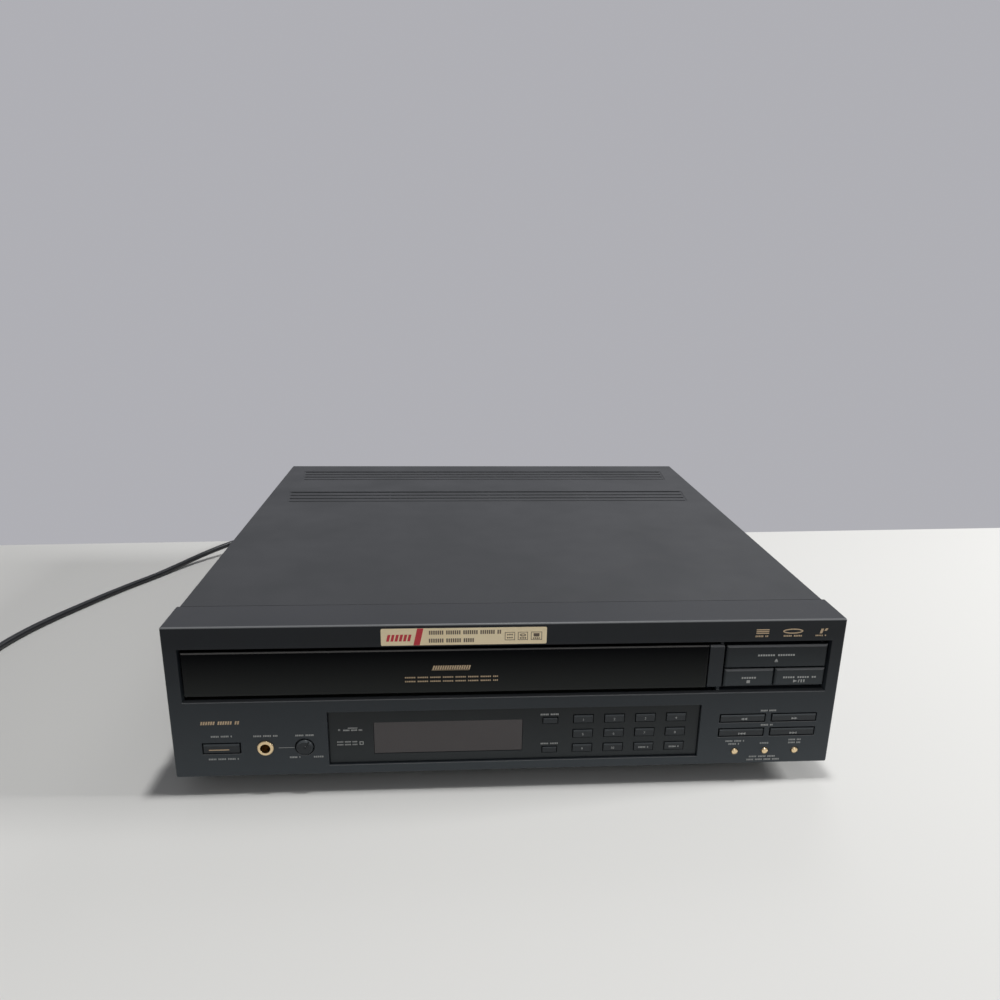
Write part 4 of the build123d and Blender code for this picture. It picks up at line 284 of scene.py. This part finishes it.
def dusted(tree, colour, dust, scale, size, share):
    """A colour with sparse pale specks: size in cells, share of the cells that hold one."""
    cells = tree.nodes.new("ShaderNodeTexVoronoi")
    cells.inputs["Scale"].default_value = scale
    tree.links.new(coordinates(tree), cells.inputs["Vector"])
    near = spread(tree, cells.outputs["Distance"], size, SPECK_CORE * size, 0.0, 1.0)
    parts = tree.nodes.new("ShaderNodeSeparateColor")
    tree.links.new(cells.outputs["Color"], parts.inputs["Color"])
    chosen = spread(tree, parts.outputs["Red"], 1.0 - share, 1.0 - share + 0.01, 0.0, 1.0)
    return blended(tree, product(tree, near, chosen), colour, dust)


def faded(tree, colour, lower, low, high):
    """Painted light: a colour that turns into another, lower, between two heights in metres."""
    rise = along(tree, coordinates(tree), "Z")
    return blended(tree, spread(tree, rise, low, high, 0.0, 1.0), lower, colour)


def rimmed(tree, colour, painted_highlight, radius):
    """A colour with a painted highlight along upper front edges, whose bevelled normals face up and
    forward.
    """
    bevel = tree.nodes.new("ShaderNodeBevel")
    bevel.samples = HIGHLIGHT_SAMPLES
    bevel.inputs["Radius"].default_value = radius
    normal = bevel.outputs["Normal"]
    facing = product(tree, along(tree, normal, "Y"), along(tree, normal, "Z"))
    return blended(tree, spread(tree, facing, *HIGHLIGHT_FACING, 0.0, 1.0), colour, painted_highlight)


def part_finish(name, colour, second, roughness, metallic=0.0, scale=60.0, grain=(900.0, 0.00004),
                edge=0.0003, dust=None, sheen_range=0.06, specular=0.5, painted_foot_light=None, painted_highlight=None,
                painted_top_light=None):
    """A full finish: two close colours, wandering roughness, grain, soft edges and maybe dust.

    foot and top are painted light: each is a colour and the two heights between which it turns into
    the rest. rim is a painted highlight: the colour and radius of upper front edges.
    """
    material, principled = shader(name, colour, roughness, metallic)
    principled.inputs["Specular IOR Level"].default_value = specular
    tree = material.node_tree
    amount = spread(tree, noise(tree, scale), *COLOUR_NOISE, 0.0, 1.0)
    mixed = blended(tree, amount, colour, second)
    # Painted light: a paler foot and a paler top by height, and a painted highlight on upper front
    # edges
    if painted_foot_light:
        mixed = faded(tree, mixed, *painted_foot_light)
    if painted_top_light:
        mixed = faded(tree, painted_top_light[0], mixed, *painted_top_light[1:])
    if painted_highlight:
        mixed = rimmed(tree, mixed, *painted_highlight)
    if dust:
        mixed = dusted(tree, mixed, *dust)
    tree.links.new(mixed, principled.inputs["Base Color"])
    handled(material, principled, scale / 4, roughness - sheen_range, roughness + sheen_range)
    grained(material, principled, *grain, edge)
    return material


def wear(finish, *parts):
    """Puts a finish on these nodes."""
    for part in parts:
        for slot in nodes[part].material_slots:
            slot.material = finish


print("habits ready")

# %% [markdown]
# The bonnet is painted steel with a fine, slightly rough coat, charcoal with a breath of blue. The
# front panel is moulded: nearly black, smoother, and cooler in colour. Both carry a little dust.
# The panel's colour is painted paler towards its foot, a painted reflection of the table's light;
# its upper front edges carry a painted highlight, and its cap's top painted light, paler than its
# face.

# %% Case finishes
DUST = (0.30, 0.30, 0.29)
bonnet_paint = part_finish(
    "bonnet_paint", (0.034, 0.036, 0.039), (0.032, 0.034, 0.037), 0.5, grain=(1600.0, 0.00005),
    edge=0.0004, dust=(DUST, 130.0, 0.04, 0.05), specular=0.35)
panel_moulding = part_finish(
    "panel_moulding", (0.009, 0.0115, 0.015), (0.0085, 0.0105, 0.0135), 0.36,
    grain=(2200.0, 0.00002), edge=0.0006, dust=(DUST, 150.0, 0.035, 0.03), specular=0.22,
    painted_foot_light=((0.052, 0.062, 0.070), 0.014, 0.106), painted_highlight=((0.17, 0.175, 0.18), 0.0009),
    painted_top_light=((0.036, 0.038, 0.042), 0.1155, 0.1160))
# Painted light: the display panel's colour is painted paler towards its foot, a painted reflection
# of the table.
display_moulding = part_finish(
    "display_moulding", (0.012, 0.014, 0.015), (0.011, 0.013, 0.014), 0.42,
    grain=(2200.0, 0.00003), edge=0.0004, dust=(DUST, 150.0, 0.035, 0.02), specular=0.22,
    painted_foot_light=((0.038, 0.044, 0.047), 0.016, 0.062))
zinc_sheet = part_finish("zinc_sheet", (0.55, 0.56, 0.55), (0.48, 0.49, 0.47), 0.34, metallic=1.0,
                         scale=90.0)
black_screw = part_finish("black_screw", (0.05, 0.05, 0.052), (0.04, 0.04, 0.04), 0.32,
                          metallic=0.9)
foot_moulding = part_finish("foot_moulding", (0.02, 0.02, 0.021), (0.016, 0.016, 0.017), 0.5,
                            edge=0.0005)
wear(bonnet_paint, "bonnet", "rear_panel")
wear(panel_moulding, "front_fascia")
wear(display_moulding, "display_panel")
wear(zinc_sheet, "chassis_pan")
wear(black_screw, "bonnet_screws")
wear(foot_moulding, "feet")
print("case dressed")

# %% [markdown]
# The tray's front and the keys beside it are glossier than the panel, and the tray's front mirrors
# only weakly. Both are painted paler towards their foot, a painted reflection of the table, with a
# painted highlight along their upper front edges. The flat keys have the panel's satin and the same
# painted highlight. The socket ring and the three round keys are plated in a warm gold.

# %% Control finishes
tray_gloss = part_finish(
    "tray_gloss", (0.0006, 0.0009, 0.0018), (0.0005, 0.0008, 0.0015), 0.2, grain=(500.0, 0.00001),
    edge=0.0005, dust=(DUST, 170.0, 0.035, 0.02), sheen_range=0.03, specular=0.04,
    painted_foot_light=((0.030, 0.032, 0.031), 0.069, 0.097), painted_highlight=((0.16, 0.155, 0.15), 0.0009))
deck_key_satin = part_finish(
    "deck_key_satin", (0.009, 0.012, 0.015), (0.0085, 0.011, 0.0135), 0.34,
    grain=(2200.0, 0.00002), edge=0.0005, specular=0.2,
    painted_foot_light=((0.042, 0.050, 0.055), 0.069, 0.099), painted_highlight=((0.20, 0.205, 0.21), 0.0009))
key_satin = part_finish(
    "key_satin", (0.024, 0.029, 0.033), (0.022, 0.026, 0.030), 0.36, grain=(2500.0, 0.00002),
    edge=0.0004, specular=0.3, painted_highlight=((0.075, 0.085, 0.09), 0.0006))
gold_plate = part_finish("gold_plate", (0.90, 0.71, 0.44), (0.84, 0.64, 0.38), 0.22, metallic=1.0,
                         edge=0.0002)
smoked_acrylic = part_finish(
    "smoked_acrylic", (0.060, 0.052, 0.053), (0.054, 0.047, 0.048), 0.2, scale=25.0,
    grain=(300.0, 0.000005), edge=0.0002, sheen_range=0.04)
FLAT_KEYS = [f"number_key_{index:02d}" for index in range(1, 13)]
FLAT_KEYS += ["upper_display_key", "lower_display_key", "scan_back_key", "scan_forward_key",
              "skip_back_key", "skip_forward_key", "power_key", "level_knob"]
wear(tray_gloss, "tray_front")
wear(deck_key_satin, "open_close_key", "stop_key", "play_key")
wear(key_satin, *FLAT_KEYS)
wear(gold_plate, "headphone_jack", "round_key_1", "round_key_2", "round_key_3")
wear(smoked_acrylic, "display_window")
print("controls dressed")

# %% [markdown]
# Inside, each piece has the finish that its job gives it: pressed deck, die-cast float, plated
# motor cans, acetal gears, ground rods. They show when the tray is out and when the part is taken
# apart, so they get real materials too.

# %% Inner finishes
moulded_black = part_finish("moulded_black", (0.028, 0.028, 0.03), (0.022, 0.022, 0.023), 0.45)
deck_paint = part_finish("deck_paint", (0.16, 0.165, 0.17), (0.14, 0.145, 0.15), 0.42, metallic=0.3)
die_cast = part_finish("die_cast", (0.55, 0.56, 0.57), (0.48, 0.49, 0.5), 0.4, metallic=1.0,
                       grain=(700.0, 0.00008))
motor_can = part_finish("motor_can", (0.6, 0.6, 0.6), (0.52, 0.52, 0.52), 0.28, metallic=1.0)
acetal = part_finish("acetal", (0.72, 0.71, 0.67), (0.68, 0.66, 0.62), 0.38)
ground_steel = part_finish("ground_steel", (0.72, 0.72, 0.73), (0.66, 0.66, 0.67), 0.14,
                           metallic=1.0)
black_rubber = part_finish("black_rubber", (0.018, 0.018, 0.019), (0.014, 0.014, 0.015), 0.62)
board_laminate = part_finish("board_laminate", (0.16, 0.10, 0.035), (0.13, 0.08, 0.028), 0.42)
laminations = part_finish("laminations", (0.20, 0.18, 0.16), (0.14, 0.12, 0.11), 0.5, metallic=0.6)
cord_jacket = part_finish("cord_jacket", (0.014, 0.016, 0.019), (0.012, 0.0135, 0.016), 0.3,
                          grain=(700.0, 0.00002))
lens_glass = part_finish("lens_glass", (0.10, 0.16, 0.30), (0.09, 0.12, 0.26), 0.05,
                         sheen_range=0.02)
key_board_laminate = part_finish("key_board_laminate", (0.030, 0.034, 0.026),
                                 (0.024, 0.028, 0.021), 0.5)
wear(moulded_black, "disc_tray", "turntable", "clamper", "pickup_carriage")
wear(deck_paint, "mech_deck", "clamp_arm")
wear(die_cast, "float_base", "tilt_frame")
wear(motor_can, "loading_motor", "spindle_motor", "carriage_motor")
wear(acetal, "loading_gear", "motor_pulley")
wear(ground_steel, "feed_screw")
wear(black_rubber, "loading_belt", "cord_gland", "cord_plug")
wear(board_laminate, "main_board")
wear(key_board_laminate, "front_board")
wear(laminations, "transformer")
wear(lens_glass, "objective_lens")
print("inside dressed")

# %% [markdown]
# The rear sockets are one piece: a black block with plated shells that stand out of it. So their
# finish turns from black plastic to bare plating just behind the block's rear face.

# %% Rear sockets
SHELL_REACH = 0.0075
SOCKET_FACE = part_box("rear_jacks")[1].y - SHELL_REACH
SHELL_COLOUR = (0.62, 0.61, 0.58)

sockets = part_finish("sockets", (0.028, 0.028, 0.03), (0.022, 0.022, 0.023), 0.4)
tree = sockets.node_tree
socket_shader = tree.nodes["Principled BSDF"]
shells = spread(tree, along(tree, coordinates(tree), "Y"), SOCKET_FACE, SOCKET_FACE + 0.0001,
                0.0, 1.0)
block_colour = socket_shader.inputs["Base Color"].links[0].from_socket
tree.links.new(blended(tree, shells, block_colour, SHELL_COLOUR),
               socket_shader.inputs["Base Color"])
tree.links.new(shells, socket_shader.inputs["Metallic"])
wear(sockets, "rear_jacks")
print("rear sockets plated behind y", round(SOCKET_FACE, 4))

# %% [markdown]
# Labels on such a machine are screen printed: a film of ink a few hundredths of a millimetre thick.
# Each print here starts as flat shapes that stand in front of the panel. A Shrinkwrap modifier lays
# them on the moulding, and a Solidify modifier gives the ink its thickness. Where a label has
# words, a row of short strokes stands in its place, and numbers and signs stay as they are.

# %% Flat shapes for prints
AHEAD = 6.0
INK = 0.00005
FEWEST_COLUMNS = 5


def alone():
    """Leaves nothing selected, so that the next operator acts on its own piece."""
    bpy.ops.object.select_all(action="DESELECT")


def upright(x, height, size):
    """Gives the new flat shape its size in millimetres and stands it up in front of the panel."""
    shape = bpy.context.object
    bpy.ops.object.transform_apply(location=True, rotation=True, scale=True)
    bpy.ops.object.origin_set(type="ORIGIN_GEOMETRY", center="BOUNDS")
    across = [max(v.co[axis] for v in shape.data.vertices) * 2 for axis in (0, 1)]
    shape.scale = (size[0] * MM / across[0], size[1] * MM / across[1], 1)
    shape.rotation_euler = (math.radians(90), 0, 0)
    shape.location = place(x, -AHEAD, height)
    bpy.ops.object.transform_apply(location=True, rotation=True, scale=True)
    return shape


def drop_faces(shape, unwanted):
    """Deletes the faces that a test on their centre picks."""
    bpy.ops.object.mode_set(mode="EDIT")
    bpy.ops.mesh.select_mode(type="FACE")
    bpy.ops.mesh.select_all(action="DESELECT")
    bpy.ops.object.mode_set(mode="OBJECT")
    for face in shape.data.polygons:
        face.select = unwanted(face.center)
    bpy.ops.object.mode_set(mode="EDIT")
    bpy.ops.mesh.delete(type="FACE")
    bpy.ops.object.mode_set(mode="OBJECT")


def slanted(shape, lean):
    """Leans a flat shape to the right, by a share of its height."""
    for vertex in shape.data.vertices:
        vertex.co.x += lean * vertex.co.y


def bar(span, height, tall, lean=0.0):
    """A plain stroke between two places, leaning where lean is set."""
    alone()
    bpy.ops.mesh.primitive_plane_add(size=1)
    slanted(bpy.context.object, lean)
    return upright(sum(span) / 2, height, (span[1] - span[0], tall))


def strokes(span, height, tall=1.15, step=0.95, word=5, lean=0.0):
    """A row of short strokes, with a gap after every word."""
    alone()
    columns = max(FEWEST_COLUMNS, round(3 * (span[1] - span[0]) / step))
    columns -= (columns + 1) % 3
    bpy.ops.mesh.primitive_grid_add(x_subdivisions=columns, y_subdivisions=1, size=1)
    shape = bpy.context.object

    def unwanted(centre):
        column = int((centre.x + 0.5) * columns)
        return column % 3 == 2 or column // 3 % (word + 1) == word

    drop_faces(shape, unwanted)
    slanted(shape, lean * tall / (span[1] - span[0]))
    return upright(sum(span) / 2, height, (span[1] - span[0], tall))


def arrow(span, height, tall, turn):
    """A triangle that points up, turned by that many degrees to the left."""
    alone()
    bpy.ops.mesh.primitive_circle_add(vertices=3, radius=1, fill_type="NGON",
                                      rotation=(0, 0, math.radians(turn)))
    return upright(sum(span) / 2, height, (span[1] - span[0], tall))


def outline(span, height, tall, line, corners=4):
    """A frame or an oval ring: a filled circle, inset, without its middle."""
    alone()
    bpy.ops.mesh.primitive_circle_add(vertices=corners, radius=1, fill_type="NGON",
                                      rotation=(0, 0, math.pi / corners))
    shape = upright(sum(span) / 2, height, (span[1] - span[0], tall))
    bpy.ops.object.mode_set(mode="EDIT")
    bpy.ops.mesh.select_all(action="SELECT")
    bpy.ops.mesh.inset(thickness=line * MM)
    bpy.ops.mesh.delete(type="FACE")
    bpy.ops.object.mode_set(mode="OBJECT")
    return shape


def figure(words, x, height, tall):
    """A number in plain figures."""
    alone()
    bpy.ops.object.text_add()
    bpy.context.object.data.body = words
    bpy.ops.object.convert(target="MESH")
    shape = bpy.context.object
    share = shape.dimensions.x / shape.dimensions.y
    return upright(x, height, (tall * share, tall))


def printed(name, shapes, carrier, body, ink, thick=INK):
    """Joins flat shapes into one print, lays it on its carrier and gives it its thickness."""
    alone()
    for shape in shapes:
        shape.select_set(True)
    bpy.context.view_layer.objects.active = shapes[0]
    if len(shapes) > 1:
        bpy.ops.object.join()
    piece = shapes[0]
    piece.name = piece.data.name = name
    lay = piece.modifiers.new("lay", "SHRINKWRAP")
    lay.wrap_method = "PROJECT"
    lay.use_project_y = True
    lay.use_negative_direction = False
    lay.target = carrier
    film = piece.modifiers.new("film", "SOLIDIFY")
    film.thickness = thick
    film.offset = 1
    for modifier in ("lay", "film"):        # laid first, thickened after
        bpy.ops.object.modifier_apply(modifier=modifier)
    piece.data.materials.append(ink)
    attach(piece, body)
    deep = [(vertex.co.y - PANEL[0].y) / MM for vertex in piece.data.vertices]
    print(name, len(piece.data.polygons), "faces, depth", round(min(deep), 2), round(max(deep), 2))
    return piece


pale_ink = part_finish("pale_ink", (0.42, 0.43, 0.42), (0.34, 0.35, 0.34), 0.5, edge=0)
gold_ink = part_finish("gold_ink", (0.62, 0.46, 0.29), (0.52, 0.38, 0.23), 0.4, edge=0)
dark_ink = part_finish("dark_ink", (0.14, 0.10, 0.07), (0.11, 0.08, 0.055), 0.5, edge=0)
red_ink = part_finish("red_ink", (0.62, 0.02, 0.04), (0.55, 0.018, 0.032), 0.4, edge=0)
print("print helpers ready")

# %% [markdown]
# The panel's own prints: the labels above and below the controls, the short line that ties the
# headphone socket to its level knob, and three small signs for the kinds of disc.

# %% Prints on the panel
PANEL_LABELS = [
    ((-186.2, -173.5), 28.9), ((-188.8, -170.5), 12.8), ((-160.4, -145.7), 28.6),
    ((-134.7, -123.6), 28.5), ((-139.0, -132.5), 13.0), ((-124.1, -118.2), 13.0),
    ((161.4, 171.4), 39.2), ((162.6, 170.3), 28.7), ((140.3, 152.6), 17.2),
    ((142.5, 149.5), 15.0), ((163.4, 169.0), 15.2), ((182.4, 190.5), 17.3),
    ((182.4, 190.5), 15.1), ((157.2, 174.5), 5.2), ((155.8, 177.5), 2.9),
]
fascia = nodes["front_fascia"]
labels = [strokes(span, height) for span, height in PANEL_LABELS]
labels += [bar((-145.4, -135.8), 20.0, 0.3)]
printed("panel_print", labels, fascia, "root", pale_ink)
disc_signs = [bar((152.3, 160.4), height, 0.7) for height in (96.4, 95.2, 94.0)]
disc_signs += [strokes((152.0, 160.0), 92.0, 1.1)]
disc_signs += [outline((169.3, 182.2), 95.2, 3.4, 0.7, 24), strokes((170.0, 181.6), 92.0, 1.1)]
disc_signs += [bar((193.0, 195.4), 95.0, 3.2, 0.5), bar((195.8, 198.2), 96.0, 1.6, 0.5)]
disc_signs += [strokes((190.5, 197.2), 92.0, 0.9)]
disc_signs += [strokes((-191.9, -168.2), 38.4, 2.3, 1.5, 6, 0.25)]
printed("panel_gold_print", disc_signs, fascia, "root", gold_ink)

# %% [markdown]
# The display panel and the tray have prints of their own. The tray's moves with the tray.

# %% Prints on the display panel and the tray
display_labels = [strokes((18.9, 30.3), 38.7), strokes((19.5, 30.5), 17.6, 1.0)]
display_labels += [strokes((-105.3, -93.6), 30.4, 1.0, 0.8), bar((-102.5, -96.5), 31.9, 0.5)]
display_labels += [outline((-108.5, -107.3), 30.7, 1.2, 0.3, 12)]
display_labels += [strokes((-109.4, -97.0), height, 0.9, 0.8) for height in (22.1, 20.1)]
display_labels += [outline((-95.5, -93.0), 21.0, 2.4, 0.5)]
printed("display_print", display_labels, nodes["display_panel"], "root", pale_ink)
tray_marks = [strokes((-49.5, -25.6), 73.5, 3.4, 1.5, 20, 0.3), bar((-49.6, -26.6), 72.1, 0.6)]
tray_marks += [strokes((-66.1, -8.8), height, 0.9, 1.1, 6) for height in (67.3, 64.6)]
printed("tray_print", tray_marks, nodes["tray_front"], "tray", gold_ink)

# %% [markdown]
# Keys carry their own signs, and each sign rides on its key: ten numbers and two short labels, the
# arrows of the search keys, and the open, stop and play signs.

# %% Numbers on the keys
SIGN_DROP = 0.5
SIGN_HEIGHT = 1.7
NUMBERED_KEYS = 10
for index in range(1, 13):
    node = f"number_key_{index:02d}"
    low, high = (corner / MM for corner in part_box(node))
    middle = (low.x + high.x) / 2
    height = (low.z + high.z) / 2 - PANEL[0].z / MM - SIGN_DROP
    if index <= NUMBERED_KEYS:
        sign = figure(str(index), middle, height, SIGN_HEIGHT)
    else:
        sign = strokes((middle - 3.2, middle + 3.2), height, 1.1)
    printed(f"number_sign_{index:02d}", [sign], nodes[node], node, pale_ink)
print("numbers done")

# %% Signs on the keys
LEFT = 90
RIGHT = -90
UP = 0


def arrows(spans, height, turn):
    """Search signs: triangles side by side, all turned the same way."""
    return [arrow(span, height, SIGN_HEIGHT, turn) for span in spans]


key_signs = {
    "scan_back_key": arrows([(148.7, 150.8), (150.8, 152.9)], 33.4, LEFT),
    "scan_forward_key": arrows([(182.4, 184.4), (184.4, 186.4)], 33.2, RIGHT),
    "skip_back_key": [bar((148.3, 148.8), 22.6, SIGN_HEIGHT),
                      *arrows([(148.9, 150.9), (150.9, 152.9)], 22.6, LEFT)],
    "skip_forward_key": [*arrows([(182.4, 184.4), (184.4, 186.4)], 22.4, RIGHT),
                         bar((186.5, 187.0), 22.4, SIGN_HEIGHT)],
    "open_close_key": [strokes((155.3, 179.0), 78.5, 1.2, 1.5, 7),
                       arrow((166.4, 168.7), 75.2, 1.5, UP), bar((166.4, 168.7), 73.9, 0.4)],
    "stop_key": [strokes((146.4, 155.5), 62.8, 1.2, 1.5, 7), bar((149.8, 152.0), 60.1, 2.0)],
    "play_key": [strokes((173.4, 194.8), 62.7, 1.2, 1.5, 5),
                 arrow((180.3, 182.9), 60.0, 2.0, RIGHT), bar((183.4, 184.4), 60.0, 2.0, 0.6),
                 bar((185.2, 186.0), 60.0, 2.0), bar((186.9, 187.7), 60.0, 2.0)],
}
for node, shapes in key_signs.items():
    printed(node + "_sign", shapes, nodes[node], node, pale_ink)

# %% [markdown]
# The knob's mark starts as an upright bar over the place where x and height are nought. Each of
# its corners is then turned clockwise about that place, and moved to the middle of the knob.
# The power key has a plain gold line.

# %% Marks on the knob and the power key
KNOB_TURN = 36
knob_low, knob_high = (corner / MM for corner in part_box("level_knob"))
spot = (knob_low + knob_high) / 2
turn = math.radians(KNOB_TURN)
knob_mark = bar((-0.35, 0.35), 3.0, 4.6)
for vertex in knob_mark.data.vertices:
    x, z = vertex.co.x / MM, (vertex.co.z - PANEL[0].z) / MM
    vertex.co.x = (spot.x + x * math.cos(turn) + z * math.sin(turn)) * MM
    vertex.co.z = (spot.z + z * math.cos(turn) - x * math.sin(turn)) * MM
printed("level_knob_mark", [knob_mark], nodes["level_knob"], "knob", pale_ink)
power_sign = [bar((-188.2, -175.8), 19.4, 0.7)]
printed("power_key_sign", power_sign, nodes["power_key"], "power_key", gold_ink)

# %% [markdown]
# The sticker is a strip of coated paper above the tray: a cream ground with a red slash, rows of
# dark strokes and three small signs. Its corners are rounded with a bevel, and the inks lie on it.

# %% Sticker
STICKER_SPAN = (-80.1, 20.7)
STICKER_MIDDLE = 94.9
STICKER_HEIGHT = 11.2
STICKER_THICKNESS = 0.0001
CORNER = 0.8

sticker_paper = part_finish("sticker_paper", (0.95, 0.80, 0.53), (0.92, 0.76, 0.49), 0.35,
                            scale=25.0, edge=0)
ground = bar(STICKER_SPAN, STICKER_MIDDLE, STICKER_HEIGHT)
bpy.ops.object.mode_set(mode="EDIT")
bpy.ops.mesh.select_all(action="SELECT")
bpy.ops.mesh.bevel(offset=CORNER * MM, segments=3, affect="VERTICES")
bpy.ops.object.mode_set(mode="OBJECT")
sticker = printed("sticker", [ground], fascia, "root", sticker_paper,
                  STICKER_THICKNESS)
red_marks = [bar((-60.6, -54.4), STICKER_MIDDLE, 11.0, 0.62)]
red_marks += [strokes((-77.0, -61.6), STICKER_MIDDLE - 0.6, 4.4, 2.6, 9, 0.25)]
printed("sticker_red_print", red_marks, sticker, "root", red_ink)
dark_marks = [strokes((-51.1, -7.4), 97.6, 2.6, 1.3, 7), strokes((-51.2, -23.9), 92.3, 2.6, 1.3, 7)]
dark_marks += [outline(span, 94.6, 5.4, 0.35) for span in ((-5.0, 1.2), (3.0, 9.1), (11.0, 17.8))]
dark_marks += [strokes((-3.6, -0.2), height, 0.9, 1.0) for height in (95.6, 93.6)]
dark_marks += [outline((4.2, 7.9), 95.3, 1.8, 0.5, 12), strokes((4.2, 7.9), 93.3, 1.1, 0.9)]
dark_marks += [bar((12.6, 16.2), 95.2, 2.2), strokes((12.4, 16.4), 93.0, 1.0, 0.9)]
printed("sticker_dark_print", dark_marks, sticker, "root", dark_ink)
print("prints done")

# %% [markdown]
# A cord is one smooth curve of a fixed length. It leaves the rubber sleeve at the back, sinks to
# the table, passes the left side of the case and ends in a coil that is put away beside it. A NURBS
# curve suits it, because the curve bends between its control points as a stiff lead does, and
# never kinks at them. The coil's turns are worked out: they spiral in on one layer, climb, and
# spiral out on the next.

# %% Cord route
CORD_DIAMETER = 0.0058
CORD_ROUTE = [
    (-0.165, 0.22225, 0.038), (-0.165, 0.23625, 0.038), (-0.170, 0.25025, 0.0366),
    (-0.185, 0.26225, 0.0332), (-0.206, 0.26825, 0.0286), (-0.230, 0.26725, 0.0239),
    (-0.255, 0.25925, 0.0194), (-0.279, 0.24725, 0.0152), (-0.302, 0.23125, 0.0112),
    (-0.322, 0.21125, 0.0072), (-0.339, 0.18725, 0.0042), (-0.354, 0.16125, 0.003),
    (-0.370, 0.13625, 0.003), (-0.385, 0.10925, 0.003), (-0.399, 0.08125, 0.003),
    (-0.412, 0.05425, 0.003), (-0.422, 0.02725, 0.003), (-0.429, -0.00075, 0.003),
]
TAIL_ROUTE = [
    (-0.429, -0.03955, 0.0094), (-0.429, -0.05075, 0.009), (-0.426, -0.06275, 0.0066),
    (-0.419, -0.07475, 0.0048), (-0.413, -0.08675, 0.0052), (-0.410, -0.09875, 0.0074),
    (-0.410, -0.11075, 0.0094), (-0.410, -0.12175, 0.0094),
]
COIL_CENTRE = (-0.472, -0.03375)
COIL_RADIUS = 0.043
COIL_PITCH = 0.0066
COIL_TURNS = 6
COIL_BASE = 0.003
COIL_LAYER = 0.0064
CLIMB = 0.25
POINTS_PER_TURN = 14


def coil_point(turn):
    """A point of the coil after that many turns from its start at the outside."""
    past = turn - COIL_TURNS / 2
    inner = COIL_RADIUS - COIL_PITCH * COIL_TURNS / 2
    if abs(past) < CLIMB:
        radius = inner + COIL_PITCH * (past ** 2 / (2 * CLIMB) + CLIMB / 2)
        rise = 0.5 + 0.5 * math.sin(math.pi * past / (2 * CLIMB))
    else:
        radius = inner + COIL_PITCH * abs(past)
        rise = 0.0 if past < 0 else 1.0
    angle = -2 * math.pi * turn
    x = COIL_CENTRE[0] + radius * math.cos(angle)
    y = COIL_CENTRE[1] + radius * math.sin(angle)
    return (x, y, COIL_BASE + COIL_LAYER * rise)


coil = [coil_point(step / POINTS_PER_TURN) for step in range(COIL_TURNS * POINTS_PER_TURN + 1)]
before_coil = (coil[0][0], coil[0][1] + CORD_DIAMETER, coil[0][2])
after_coil = (coil[-1][0], coil[-1][1] - CORD_DIAMETER, coil[-1][2])
route = CORD_ROUTE + [before_coil] + coil + [after_coil] + TAIL_ROUTE[1:]
print(len(route), "points along the cord")

# %% [markdown]
# The curve's bevel gives the cord its round jacket. It replaces the plain tube and the wound solid
# of the model, which stay behind for weight and contact. It is laid last of all pieces, because
# the box that the scene gives for a curve is wrong once other operators have run after it.

curve = bpy.data.curves.new("mains_cord", "CURVE")
curve.dimensions = "3D"
curve.resolution_u = 8
curve.bevel_depth = CORD_DIAMETER / 2
curve.bevel_resolution = 4
curve.use_fill_caps = True
spline = curve.splines.new("NURBS")
spline.points.add(len(route) - 1)
for point, spot in zip(spline.points, route):
    point.co = (*spot, 1.0)
spline.order_u = 3
spline.use_endpoint_u = True
mains_cord = bpy.data.objects.new("mains_cord", curve)
bpy.context.scene.collection.objects.link(mains_cord)
curve.materials.append(cord_jacket)
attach(mains_cord, "root")
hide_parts("power_cord", "cord_coil")
